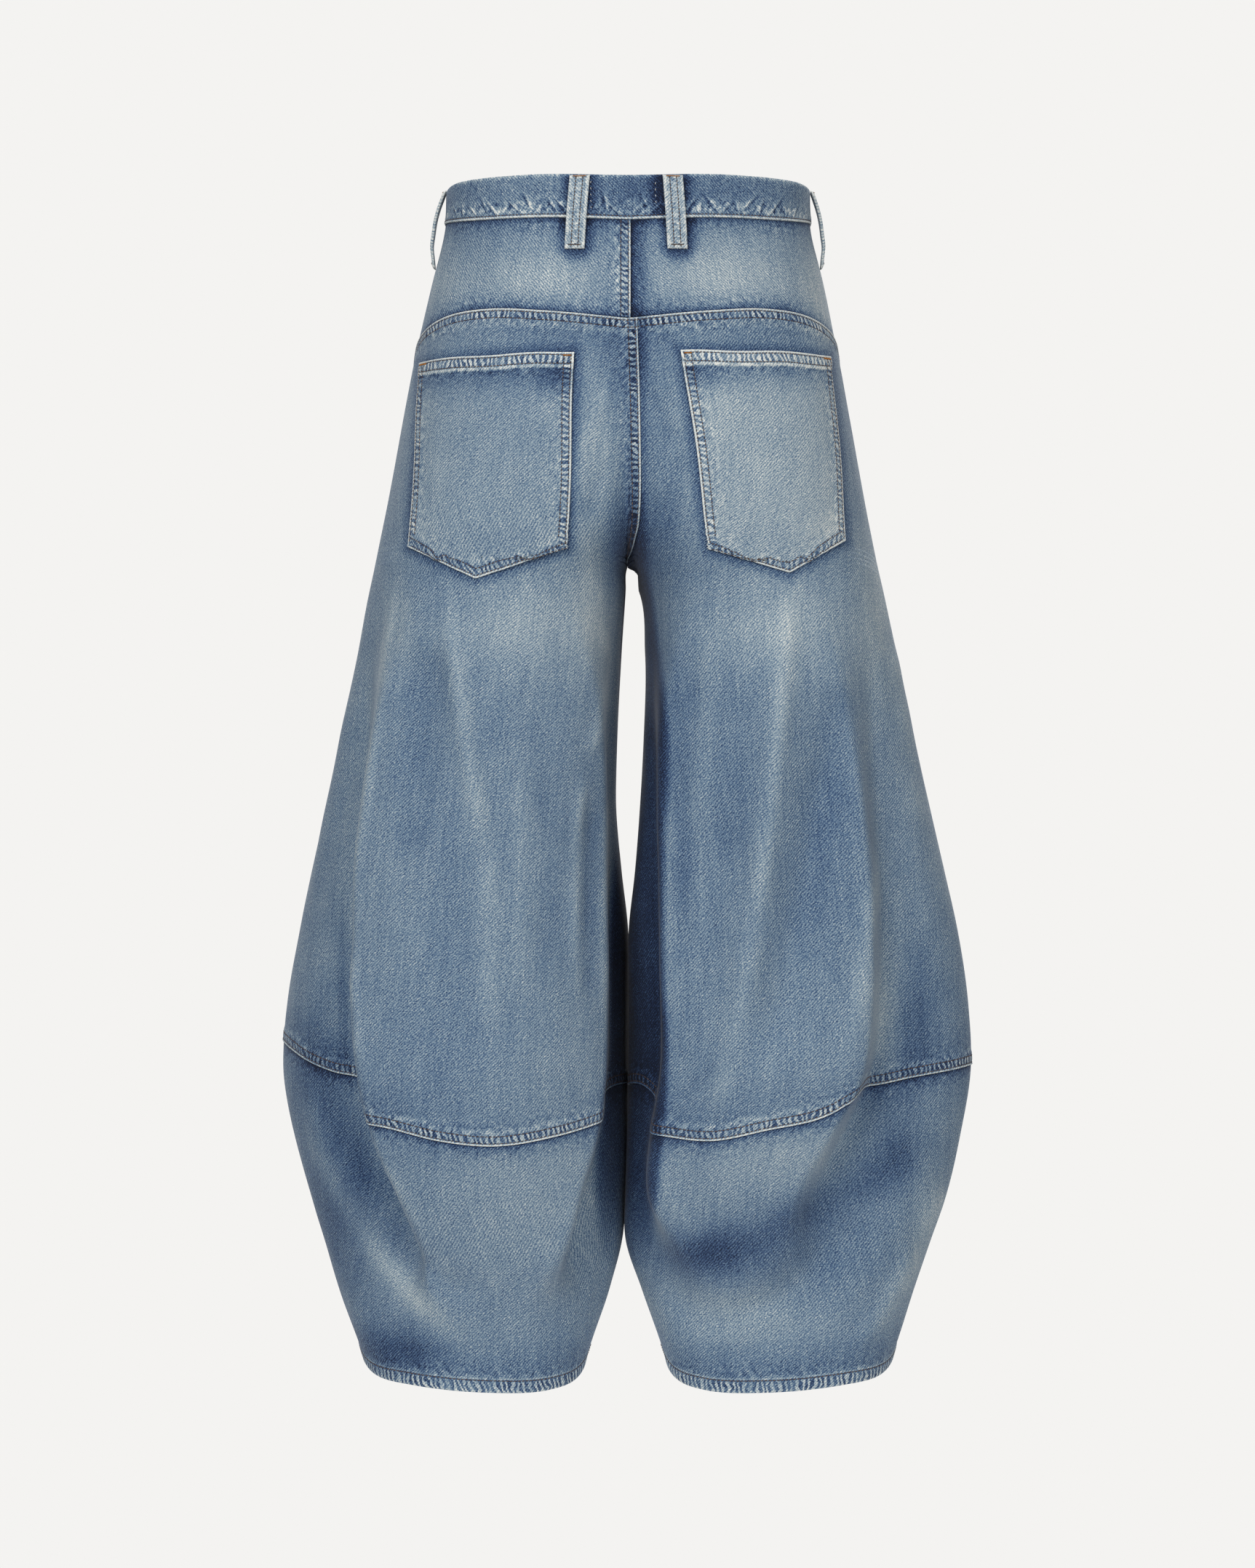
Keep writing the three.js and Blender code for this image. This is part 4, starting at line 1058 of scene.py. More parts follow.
# The felled seam at the centre back leans over the right side, more towards the crotch.
YOKE_LEAN = [(0, 2.6)]
RISE_LEAN = [(90, 7.6), (150, 9.8), (210, 11.6), (262, 14), (281, 12), (291, 0)]
LOOP_FOOT = -41
LOOP_SHADOW_X = (42, 40)
LOOP_SHADOW_HALF, LOOP_SHADOW_SOFT = 7, 7
for leg in LEG_SIGN:
    laps = leg == "left"
    made = panel(
        leg, "back", line_through(WAIST_SEAM["back"]), line_through(YOKE_SEAM),
        {"top": "under", "bottom": "under", "middle": "lap" if laps else "under"}, seed=1.3 if laps else 2.6,
        over=(lambda z: read(-z, YOKE_LEAN)) if laps else None,
    )
    # Painted shadow on the right yoke along the edge of the left one, which laps over it.
    if not laps:
        made["tiles"][..., 2] -= 0.2 * peak(made["away"], 5)
    # A painted shadow of each back belt loop darkens a spot on the yoke below the waistband.
    for loop_x in LOOP_SHADOW_X:
        beside = np.abs(np.abs(made["outer"][..., 0]) - loop_x) - LOOP_SHADOW_HALF
        near = np.maximum(0, beside) + 0.8 * np.maximum(0, LOOP_FOOT - made["z"])
        made["tiles"][..., 2] -= 0.2 * peak(near, LOOP_SHADOW_SOFT)
    finish_cloth(
        f"yoke_{leg}_cloth", made, denim_cross, f"yoke_{leg}",
    )
    if laps:
        rows = [row_down(made, EDGE_ROW), row_down(made, INNER_ROW)]
        stitches("yoke_left_stitching", rows, brown_thread)


# Back legs
# The large panels from the yoke to the curved seam below the knee. Each is folded over the yoke at the
# top and over the lower leg at the bottom, with felled seams sewn in two rows. The left one also laps
# over the right along the rise.
KNEE_SEAM = {
    ("left", "back"): [
        (0, -716), (0.1, -718), (0.16, -727), (0.2, -733), (0.26, -741.5), (0.34, -750), (0.44, -756),
        (0.52, -752), (0.6, -742.5), (0.66, -736.5), (0.7, -726), (0.74, -709.5), (0.8, -702.5),
        (0.85, -695.5), (0.89, -689), (0.94, -683), (1, -681),
    ],
    ("right", "back"): [
        (0, -716), (0.09, -716), (0.14, -731), (0.2, -745), (0.28, -751), (0.355, -753), (0.46, -743.5),
        (0.565, -732), (0.62, -718), (0.68, -713.5), (0.74, -711.5), (0.8, -706.5), (0.88, -702),
        (0.96, -699), (1, -699),
    ],
    ("left", "front"): [(0, -716), (0.25, -728), (0.5, -738), (0.75, -718), (1, -681)],
    ("right", "front"): [(0, -716), (0.25, -726), (0.5, -737), (0.75, -724), (1, -699)],
}
CROTCH_FINE = np.arange(-299, -283, 0.8)
RISE_BAND = [(1.5, 0), (3, 1), (12, 1), (15, 0)]
RISE_DARK = [(110, 0.04), (200, 0.08), (250, 0.18), (292, 0.42)]
POCKET_EDGE_SHADE = [(-8, 0), (-2, 0.3), (2, 0.18), (9, 0)]
POCKETS = {
    "left": {"top": ((42, -125), (167, -127)), "low": ((48, -281), (175, -279)), "tip": (121, -306)},
    "right": {"top": ((43, -124), (164, -122)), "low": ((65, -282), (175, -274)), "tip": (129, -301)},
}


def from_pocket(leg, x, z):
    """How far places on the seat lie outside the outline of the pocket, below zero inside it."""
    corners = POCKETS[leg]
    places = [*corners["top"], corners["low"][1], corners["tip"], corners["low"][0]]
    outside = np.full(np.shape(x), -np.inf)
    for (ax, az), (bx, bz) in zip(places, places[1:] + places[:1]):
        run = math.hypot(bx - ax, bz - az)
        outside = np.maximum(outside, ((bz - az) * (ax - x) + (bx - ax) * (z - az)) / run)
    return outside


for leg in LEG_SIGN:
    laps = leg == "left"
    top, bottom = line_through(YOKE_SEAM), line_through(KNEE_SEAM[leg, "back"])
    fine = (float(top(0)) - CROTCH_FINE) / float(top(0) - bottom(0))
    made = panel(
        leg, "back", top, bottom, {"top": "lap", "bottom": "lap", "middle": "lap" if laps else "under"},
        fine=fine, seed=0.4 if laps else 3.7, over=(lambda z: read(-z, RISE_LEAN)) if laps else None,
    )
    if laps:
        # The band along the rise is darker, more so towards the crotch, but for its worn edge.
        band = read(made["away"], RISE_BAND) * smooth((-112 - made["z"]) / 30)
        made["tiles"][..., 2] -= band * read(-made["z"], RISE_DARK)
    # Painted shade darkens the cloth close to the edges of the pocket.
    outside = from_pocket(leg, np.abs(made["outer"][..., 0]), made["z"])
    made["tiles"][..., 2] -= read(outside, POCKET_EDGE_SHADE)
    finish_cloth(
        f"back_leg_{leg}_cloth", made, denim_length, f"back_leg_{leg}",
    )
    rows = [row_across(made, edge, gap) for edge in ("top", "bottom") for gap in (EDGE_ROW, INNER_ROW)]
    if laps:
        rows += [row_down(made, gap, CROTCH_Z) for gap in (EDGE_ROW, INNER_ROW)]
    stitches(f"back_leg_{leg}_stitching", rows, brown_thread)


# Front legs
# The front panels from the waistband to the curved seam. The left one is lapped over the right along
# the rise, and the fly behind it is held by two curved rows of stitches.
FLY_LINE = [(0, 33), (70, 33), (105, 31), (130, 24), (148, 13), (158, 2.5)]
FLY_ROWS = (0, 5.5)
FLY_TOP = -18
FLY_DEEP = 158
for leg in LEG_SIGN:
    laps = leg == "left"
    top, bottom = line_through(WAIST_SEAM["front"]), line_through(KNEE_SEAM[leg, "front"])
    fine = (float(top(0)) - CROTCH_FINE) / float(top(0) - bottom(0))
    seed = 5.1 if laps else 6.4
    made = panel(
        leg, "front", top, bottom, {"top": "under", "bottom": "lap", "middle": "lap" if laps else "under"},
        pitch=FRONT_PITCH, fine=fine, seed=seed,
    )
    if laps:
        ridge = made["away"] - read(np.clip(FLY_TOP - made["z"], 0, FLY_DEEP), FLY_LINE)
        shown = smooth((made["z"] - FLY_TOP + FLY_DEEP) / 6)
        made["tiles"][..., 2] += shown * (0.1 * peak(ridge + 2, 3) - 0.06 * peak(ridge - 4, 4))
    finish_cloth(
        f"front_leg_{leg}_cloth", made, denim_length, f"front_leg_{leg}",
    )
    rows = [row_across(made, "bottom", gap) for gap in (EDGE_ROW, INNER_ROW)]
    if laps:
        rows += [row_down(made, gap, CROTCH_Z) for gap in (EDGE_ROW, INNER_ROW)]
        grid_away, grid_drop = made["away"], made["drop"]
        for inset in FLY_ROWS:
            line, ups = [], []
            for drop in np.linspace(1, FLY_DEEP - inset, 80):
                row = np.argmin(np.abs(grid_drop[:, 8] - drop))
                distance = max(2.5, float(through(FLY_LINE, 1, drop + inset * drop / FLY_DEEP)) - inset)
                line.append(read_line(distance, grid_away[row], made["outer"][row]))
                ups.append(read_line(distance, grid_away[row], made["normals"][row]))
            rows.append((np.array(line), np.array(ups)))
    stitches(f"front_leg_{leg}_stitching", rows, brown_thread)


# Lower legs
# Separate panels below the curved seam, front and back, each with its hem turned up 12 mm and sewn in
# one row. Washing has twisted the hems into slanting ropes of pale and dark.
HEM = {
    "back": [(0, -942), (0.1, -955), (0.25, -962), (0.45, -962), (0.7, -957), (0.88, -951.5), (1, -941)],
    "front": [(0, -942), (0.25, -948), (0.5, -951), (0.75, -948), (1, -941)],
}
LOWER_SEEDS = {
    ("left", "back"): 7.3,
    ("left", "front"): 8.9,
    ("right", "back"): 9.4,
    ("right", "front"): 11.2,
}
for (leg, face), seed in LOWER_SEEDS.items():
    made = panel(
        leg, face, line_through(KNEE_SEAM[leg, face]), line_through(HEM[face]),
        {"top": "under", "bottom": "hem", "middle": "plain"},
        pitch=BACK_PITCH if face == "back" else FRONT_PITCH, seed=seed,
    )
    finish_cloth(
        f"lower_{face}_{leg}_cloth", made, denim_length, f"lower_{face}_{leg}",
    )
    stitches(f"lower_{face}_{leg}_stitching", [row_across(made, "bottom", HEM_ROW)], brown_thread)


# Patch pockets
# Five-cornered patches of denim sewn to the seat in two rows round three sides, with a turned top hem
# sewn in two rows and an orange bartack at each top corner. Their edges are worn white.
POCKET_LIFT = 0.7
POCKET_THICK = 1.2
POCKET_WIDE, POCKET_TALL = 128, 165
POCKET_COLUMNS, POCKET_ROWS = 46, 58
EDGE_STOPS = [0, 0.4, 0.8, 1.4, 2.1, 2.9, 4, 5.4, 7, 7.8, 8.6, 10, 12, 14]
TOP_STOPS = [0, 0.4, 1, 1.6, 2.3, 3, 4.2, 6, 7.8, 9, 9.6, 10.3, 11.4, 12.4, 13.2, 14.6, 17, 21]
POCKET_TOP_ROW, POCKET_HEM_ROW = 2.3, 9.4
POCKET_EDGE = {
    "pale": [(0, 0.2), (0.4, 0.44), (1.1, 0.36), (2.1, -0.18), (2.9, 0), (7, 0), (7.8, -0.18), (8.6, -0.02),
             (10, 0)],
    "ladder": [(1.7, 0), (2.6, 0.85), (7.2, 0.85), (8.4, 0.3), (9.5, 0)],
    "rub": [(0, 0.2), (1.3, 0.2), (2, 0), (8, 0.1), (9, 0.7), (12, 0.45), (24, 0)],
}
POCKET_TOP = {
    "pale": [(0, 0.2), (0.4, 0.46), (1.1, 0.36), (2.3, -0.16), (3.1, 0.04), (8.6, 0.04), (9.4, -0.18),
             (10.2, 0.06), (11, 0.2), (12.4, 0.16), (13.4, -0.24), (18, -0.17), (28, -0.06), (40, 0)],
    "ladder": [(1.7, 0), (2.6, 1), (9, 1), (9.8, 0)],
    "rub": [(0, 0.4), (1.3, 0.2), (2, 0), (9.8, 0), (10.4, 0.9), (12.8, 0.9), (20, 0.2), (26, 0)],
}
POCKET_BOTTOM = [(8.4, 0), (10, 0.1), (20, 0.06), (34, 0)]
POCKET_HEM = [(0, 0.2), (0.4, 0.9), (1.2, 1.2), (2.1, 0.7), (3, 1.1), (8.6, 1.1), (9.4, 0.6), (10.6, 0.8),
              (12.4, 0.8), (13.2, 0)]
POCKET_PALE = {"left": 0.07, "right": 0.15}
POCKET_FOOT_DARK = 0.12
POCKET_TACK_WIDE = 1.9
POCKET_TACK = {"pitch": 5, "long": 1.6, "radius": 0.32}


def share_of(leg, face, x, z):
    """The share of the way across at which the cloth lies at a distance from the middle plane."""
    grid = cloth[leg, face]
    wide = np.abs(grid["points"][..., 0])
    rows = np.clip(np.round((CLOTH_TOP - z) / CLOTH_STEP).astype(int), 0, len(grid["z"]) - 1)
    shares = np.linspace(0, 1, SHARE_STEPS + 1)
    found = [np.interp(a, wide[r], shares) for a, r in zip(np.ravel(x), np.ravel(rows))]
    return np.reshape(found, np.shape(x))


def bartack(line, normals, wide):
    """A dense zigzag of thread over a short line."""
    run = run_along(line)
    tacks = []
    for at in np.linspace(0, run[-1], max(3, int(run[-1] / 0.6))):
        middle, up = read_line(at, run, line), read_line(at, run, normals)
        after = read_line(min(at + 1, run[-1]), run, line)
        along = after - middle if at < run[-1] - 0.5 else line[-1] - line[-2]
        beside = np.cross(up, along / (np.linalg.norm(along) + 1e-9))
        ends = np.array([middle - beside * wide / 2, middle + beside * wide / 2])
        tacks.append((ends + up * 0.2, np.array([up, up])))
    return tacks


def pocket_row(made, kind, distance):
    """The line on a pocket at a distance from its top edge, its lower edges or one of its sides."""
    line, ups = [], []
    grid, normals = made["outer"], made["normals"]
    turn = slice(None) if kind in ("top", "in") else slice(None, None, -1)
    if kind in ("top", "low"):
        key = made["to_top"] if kind == "top" else made["to_low"][turn]
        sides = made["to_in"][0 if kind == "top" else -1]
        for c in np.nonzero((sides > EDGE_ROW) & (sides < sides[-1] - EDGE_ROW))[0]:
            line.append(read_line(distance, key[:, c], grid[turn, c]))
            ups.append(read_line(distance, key[:, c], normals[turn, c]))
        return np.array(line), np.array(ups)
    for r in np.nonzero((made["to_top"].max(axis=1) > 1.5) & (made["to_low"].min(axis=1) > distance))[0]:
        key = made["to_in"][r] if kind == "in" else (made["to_in"][r, -1] - made["to_in"][r])[turn]
        line.append(read_line(distance, key, grid[r, turn]))
        ups.append(read_line(distance, key, normals[r, turn]))
    return np.array(line), np.array(ups)


for leg, corners in POCKETS.items():
    (top_in, top_out), (low_in, low_out), tip = corners["top"], corners["low"], corners["tip"]
    tip_share = (tip[0] - low_in[0]) / (low_out[0] - low_in[0])
    near, near_top = np.array(EDGE_STOPS) / POCKET_WIDE, np.array(TOP_STOPS) / POCKET_TALL
    near_low = np.array(EDGE_STOPS) / POCKET_TALL
    u = np.concatenate([near[:-1], np.linspace(near[-1], 1 - near[-1], POCKET_COLUMNS), 1 - near[-2::-1]])
    even = np.linspace(near_top[-1], 1 - near_low[-1], POCKET_ROWS)
    v = np.concatenate([near_top[:-1], even, 1 - near_low[-2::-1]])
    before = u < tip_share
    t = np.where(before, u / tip_share, (u - tip_share) / (1 - tip_share))
    low_x, low_z = (
        np.where(before, low_in[k] + (tip[k] - low_in[k]) * t, tip[k] + (low_out[k] - tip[k]) * t)
        for k in (0, 1)
    )
    top_x, top_z = (top_in[k] + (top_out[k] - top_in[k]) * u for k in (0, 1))
    x = top_x + (low_x - top_x) * v[:, None]
    z = top_z + (low_z - top_z) * v[:, None]
    # The sides of a worn pocket aren't straight: they wander a millimetre or so.
    x = x + 0.8 * np.sin(z / 23 + (2 if leg == "left" else 4)) * np.cos(np.pi * u) ** 2
    z = z + 0.5 * np.sin(x / 11 + (1 if leg == "left" else 3)) * np.cos(np.pi * v[:, None] / 2) ** 2
    share = share_of(leg, "back", x, z)
    points, normals = cloth_at(leg, "back", share, z)
    total = length_at(leg, "back", z)[0]
    to_in, to_top = run_along(points, axis=1), run_along(points, axis=0)
    edge_x, edge_z = (np.where(before, tip[k] - low_in[k], low_out[k] - tip[k]) for k in (0, 1))
    to_low = (to_top[-1:] - to_top) * np.cos(np.arctan2(np.abs(edge_z), edge_x))
    to_side = np.minimum(to_in, to_in[:, -1:] - to_in)
    to_edge = np.minimum(to_side, to_low)
    seed = 8.2 if leg == "left" else 9.6
    crease_lift, crease_fade_and_shading = creased(leg, "back", x, z)
    lift = np.maximum(0.55 * read(to_edge, LAP_PROFILE), read(to_top, POCKET_HEM))
    calm = smooth((to_edge - 6) / 25) * smooth((to_top - 10) / 20)
    lift += (0.6 * waves(x, z, seed) + 0.4 + crease_lift) * calm
    edge_pale, edge_ladder, edge_rub = marks_at(POCKET_EDGE, to_edge)
    top_pale, top_ladder, top_rub = marks_at(POCKET_TOP, to_top)
    fade_and_shade = broad_fade_and_shade(leg, "back", x, z, seed) + POCKET_PALE[leg] + crease_fade_and_shading + edge_pale + top_pale
    fade_and_shade -= POCKET_FOOT_DARK * smooth((-255 - z) / 34)
    fade_and_shade += read(to_low, POCKET_BOTTOM) * read(to_side, [(0, 0), (9, 1)])
    corner = np.exp(-(((to_in - 12) / 15) ** 2) - ((to_top - 22) / 13) ** 2)
    fade_and_shade -= 0.18 * corner
    below_side = to_side < to_low
    hem_over = read(to_top, [(POCKET_HEM_ROW, 1), (11, 0)])
    ladder_across = np.maximum(top_ladder, edge_ladder * ~below_side * (1 - hem_over))
    ladder_down = edge_ladder * below_side * (1 - hem_over)
    outer = points + normals * (POCKET_LIFT + POCKET_THICK + lift)[..., None]
    across = seen_across(leg, "back", share * total, z)
    rub = np.maximum(edge_rub, top_rub)
    tiles = np.stack([across, z, np.clip(fade_and_shade, 0, 1), ladder_across, ladder_down, rub], axis=-1)
    made = {"outer": outer, "inner": points + normals * POCKET_LIFT, "tiles": tiles, "normals": normals,
            "to_top": to_top, "to_low": to_low, "to_in": to_in}
    finish_cloth(
        f"pocket_{leg}_cloth", made, denim_length, f"pocket_{leg}",
    )
    rows = [pocket_row(made, "top", gap) for gap in (POCKET_TOP_ROW, POCKET_HEM_ROW)]
    rows += [pocket_row(made, kind, gap) for kind in ("in", "out", "low") for gap in (EDGE_ROW, INNER_ROW)]
    stitches(f"pocket_{leg}_stitching", rows, brown_thread, **FINE_STITCH)
    line, ups = pocket_row(made, "top", 2.8)
    tacks = bartack(line[:6], ups[:6], POCKET_TACK_WIDE) + bartack(line[-6:], ups[-6:], POCKET_TACK_WIDE)
    stitches(f"pocket_{leg}_bartacks", tacks, orange_thread, **POCKET_TACK)


# Waistband
# A straight strip of denim folded along its top edge and sewn on in one row close to its lower edge, which
# is worn white. Its two ends overlap at the middle of the front, under the button.
BAND_TOP = 19
BAND_HIGH = 36
BAND_RISE = 2
BAND_PROUD = 1.2
BAND_WALL = 3.2
BAND_OVERLAP = 38
BAND_COLUMNS = 860
BAND_LINE = [("right", "front", 1), ("right", "back", -1), ("left", "back", 1), ("left", "front", -1)]
UNDER_STEP = BAND_WALL + 0.5
UNDER_LENGTH = 0.22
BAND_SECTION = [  # distance inwards from the outer face, and share of the height over the lower edge
    (0.9, 0), (0.35, 0.002), (0, 0.014), (-0.2, 0.032), (0.05, 0.052), (0.4, 0.07), (0.15, 0.088),
    *[(0, up) for up in np.linspace(0.11, 0.86, 24)],
    (0.02, 0.9), (0.15, 0.945), (0.45, 0.975), (1, 0.995), (1.6, 1), (2.2, 0.99),
    (2.7, 0.965), (2.9, 0.92), (2.9, 0.7), (2.9, 0.45), (2.9, 0.2), (2.9, 0.04), (2.6, 0.008), (2, 0),
]
STITCH_RING = 5
BAND_WRINKLES = [  # distance from the centre back to the left, lean, height, length and strength
    (10, 1.0, 8, 10, 0.7), (17, 0.2, 13, 12, 0.9), (24, -0.5, 10, 9, 0.6), (52, 0.9, 9, 12, 0.9),
    (60, 0.7, 10, 10, 0.8), (71, -0.2, 8, 7, 0.6), (80, 0.5, 12, 9, 0.8), (92, 1.1, 9, 9, 0.7),
    (101, -0.9, 8, 6, 0.6), (113, 0.9, 9, 11, 1), (121, 0.6, 13, 9, 0.7), (133, 1.1, 8, 8, 0.7),
    (146, 0.3, 9, 8, 0.6), (158, 0.8, 10, 9, 0.7), (176, -0.6, 9, 8, 0.6), (-9, -0.9, 9, 9, 0.7),
    (-15, 0.4, 13, 8, 0.8), (-23, -1.1, 9, 8, 0.6), (-50, -0.8, 10, 10, 0.8), (-58, -0.3, 8, 7, 0.7),
    (-69, 0.7, 11, 11, 0.9), (-79, -0.8, 8, 7, 0.7), (-90, 0.2, 9, 8, 0.6), (-99, -1.0, 12, 12, 0.9),
    (-110, -0.5, 9, 9, 0.8), (-124, -0.9, 10, 12, 1), (-137, 0.4, 8, 7, 0.6), (-150, -0.6, 9, 9, 0.7),
    (-170, -0.9, 10, 8, 0.6),
]
WRINKLE_REACH = 195
BAND_PALE = [(0, 0.2), (0.4, 0.42), (1.2, 0.36), (1.9, 0.02), (2.6, -0.1), (4, 0.04), (8, 0.03), (13, -0.02),
             (20, -0.07), (33, -0.05), (35, 0.1), (36, 0.2)]
BAND_RUB = [(0, 0.5), (1.3, 0.5), (2, 0), (3.2, 0.4), (5, 1), (11, 0.9), (16, 0.35), (24, 0.2), (33, 0.3),
            (35, 0.6)]
LOOP_SHADE_X = (39, -37)
LOOP_SHADE = 0.34
LOOP_SHADE_HALF, LOOP_SHADE_SOFT = 8, 6


def waist_line(along, up):
    """Points and normals of the cloth at the waistband. along goes from 0 to 4 over four quarters, and up
    from 0 at the seam below it to 1 at its top."""
    turn = np.mod(along, 4)
    points, normals = np.empty((len(turn), 3)), np.empty((len(turn), 3))
    for quarter, (leg, face, way) in enumerate(BAND_LINE):
        there = np.floor(turn).astype(int) == quarter
        share = turn[there] - quarter if way > 0 else 1 - (turn[there] - quarter)
        seam = through(WAIST_SEAM[face], 1, share) + SEAM_GAP / 2
        top = BAND_TOP + BAND_RISE * smooth(share / 0.4) * smooth((1 - share) / 0.25)
        points[there], normals[there] = cloth_at(leg, face, share, seam + up * (top - seam))
    return points, normals


quarter_length = float(length_at("left", "front", 0)[0])
along = np.linspace(-BAND_OVERLAP / quarter_length, 3.999, BAND_COLUMNS)
from_back = (along - 2) * quarter_length
under = UNDER_STEP * (1 - smooth(along / UNDER_LENGTH))
rings, tile_rings, normal_rings = [], [], []
for inwards, up in BAND_SECTION:
    points, normals = waist_line(along, up)
    height = up * BAND_HIGH
    folds, hollows = np.zeros((2, len(along)))
    past = (np.abs(from_back) - WRINKLE_REACH) * np.sign(from_back)
    repeat = np.where(np.abs(from_back) > WRINKLE_REACH, past, from_back)
    for middle, lean, at_height, long, strength in BAND_WRINKLES:
        off = repeat - middle - lean * (height - at_height)
        near = strength * peak(height - at_height, long * 0.55)
        folds += near * peak(off, 1.2)
        hollows += near * peak(off - 2.3 * np.sign(lean), 1.5)
    seen = inwards < 1 and up < 0.95
    wrinkled = 0.9 * folds - 0.5 * hollows + 0.25 * np.sin(from_back / 19 + height / 9) * (up > 0.1)
    lift = BAND_PROUD - inwards - under + (wrinkled if seen else 0)
    rings.append(points + normals * lift[:, None])
    normal_rings.append(normals)
    fade_and_shade = BASE_FADE + 0.04 * np.sin(from_back / 43) + (0.42 * folds - 0.34 * hollows) * (1 if seen else 0)
    fade_and_shade += read(height, BAND_PALE)
    patchy = np.sin(from_back / 5.3 + 2 * np.sin(from_back / 17)) * peak(height - 6, 3.4)
    fade_and_shade += 0.07 * patchy
    for loop_x in LOOP_SHADE_X:
        beside = np.maximum(0, np.abs(from_back - loop_x) - LOOP_SHADE_HALF)
        fade_and_shade -= LOOP_SHADE * peak(beside, LOOP_SHADE_SOFT) * (up > 0.06)
    fade_and_shade -= 0.2 * peak(from_back + 23, 6) * (up > 0.06) + 0.1 * peak(from_back, 34)
    none = np.zeros(len(along))
    rub = none + read(height, BAND_RUB)
    tile_rings.append(np.stack([-from_back, points[:, 2], np.clip(fade_and_shade, 0, 1), none, none, rub], axis=-1))


def loft(name, sections, tiles, material, node):
    """A closed body lofted through closed sections, with flat ends."""
    count, sides = sections.shape[:2]
    grid = np.arange(count * sides).reshape(count, sides)
    quads = quads_of(np.concatenate([grid, grid[:, :1]], axis=1))
    faces = [tuple(q) for q in quads.tolist()]
    faces += [tuple(grid[0].tolist()), tuple(grid[-1, ::-1].tolist())]
    mesh = bpy.data.meshes.new(name)
    mesh.from_pydata((sections.reshape(-1, 3) * MM).tolist(), [], faces)
    mesh.polygons.foreach_set("use_smooth", np.ones(len(mesh.polygons), bool))
    mark_wear_and_shade(mesh, tiles.reshape(-1, tiles.shape[-1]))
    mesh.materials.append(material)
    flat = sections.reshape(-1, 3)
    a, b, c, d = (flat[quads[:, k]] for k in range(4))
    middle = np.repeat(sections.mean(axis=1), sides, axis=0)[quads[:, 0]]
    if np.einsum("ij,ij->i", np.cross(c - a, d - b), a - middle).sum() < 0:
        mesh.flip_normals()
    piece = into_scene(name, mesh)
    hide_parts(node)
    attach(piece, "root")
    return piece


band = loft(
    "waistband_cloth", np.stack(rings, axis=1), np.stack(tile_rings, axis=1), denim_cross, "waistband",
)
stitches("waistband_stitching", [(rings[STITCH_RING][4:], normal_rings[STITCH_RING][4:])], brown_thread)

# Short rows of white tacking hold a label inside the back of the waistband. They show between the loops.
TACKS = [("left", 29, 14), ("right", 22.5, 13)]
LABEL_TACK = {"pitch": 5.6, "long": 2, "radius": 0.28}
TACK_FOOT = -9
TACK_POINTS = 14
tack_lines = []
for leg, x, high in TACKS:
    z = np.linspace(high, TACK_FOOT, TACK_POINTS)
    points, normals = cloth_at(leg, "back", share_of(leg, "back", np.full(TACK_POINTS, float(x)), z), z)
    points[:, 0] += 0.6 * np.sin(np.arange(TACK_POINTS) * 2.3)
    tack_lines.append((points + normals * (BAND_PROUD + 0.35), normals))
stitches("label_tacking", tack_lines, white_thread, **LABEL_TACK)


# Belt loops
# Folded strips of denim with two rows of stitches, tacked over the top edge of the waistband and below
# its lower edge. The two at the back lie close. The ones at the sides stand off the cloth.
LOOP_WIDTH = 16
LOOP_SECTION = [  # across the loop as a share of its half width, and height over its under side
    (-1, 0.5), (-1, 1.6), (-0.93, 2.35), (-0.8, 2.5), (-0.62, 2.35), (-0.42, 2.05), (-0.34, 1.95),
    (-0.26, 2.05), (0, 2.3), (0.26, 2.05), (0.34, 1.95), (0.42, 2.05), (0.62, 2.35), (0.8, 2.5),
    (0.93, 2.35), (1, 1.6), (1, 0.5), (0.9, 0), (0.4, 0), (0, 0), (-0.4, 0), (-0.9, 0),
]
BACK_LOOP = [(18.6, 1.6), (12, 2), (3, 2.6), (-8, 2.9), (-19, 2.7), (-29, 1.6), (-36, 0.5), (-41, 0.5)]
SIDE_LOOP = [(18.6, 1.4), (12, 3.6), (4, 6), (-6, 7.8), (-18, 8), (-29, 7), (-38, 3.6), (-45, 0.9)]
LOOPS = {  # leg, face, distance from the middle, lean of the lower end, shape
    "loop_back_left": ("left", "back", 37.9, 4.4, BACK_LOOP),
    "loop_back_right": ("right", "back", 35.9, 4, BACK_LOOP),
    "loop_front_left": ("left", "front", 84, 3, BACK_LOOP),
    "loop_front_right": ("right", "front", 84, 3, BACK_LOOP),
    "loop_side_left": ("left", "side", 0, 0, SIDE_LOOP),
    "loop_side_right": ("right", "side", 0, 0, SIDE_LOOP),
}
LOOP_ROWS = 60
LOOP_STITCH = 0.34
LOOP_GROOVE, LOOP_FACE = 2.05, 2.3
LOOP_TACK_AT = (-0.62, 0, 0.62)
LOOP_TACK_WIDE = 1.5
LOOP_TACK = {"pitch": 5, "long": 1.2, "radius": 0.28}

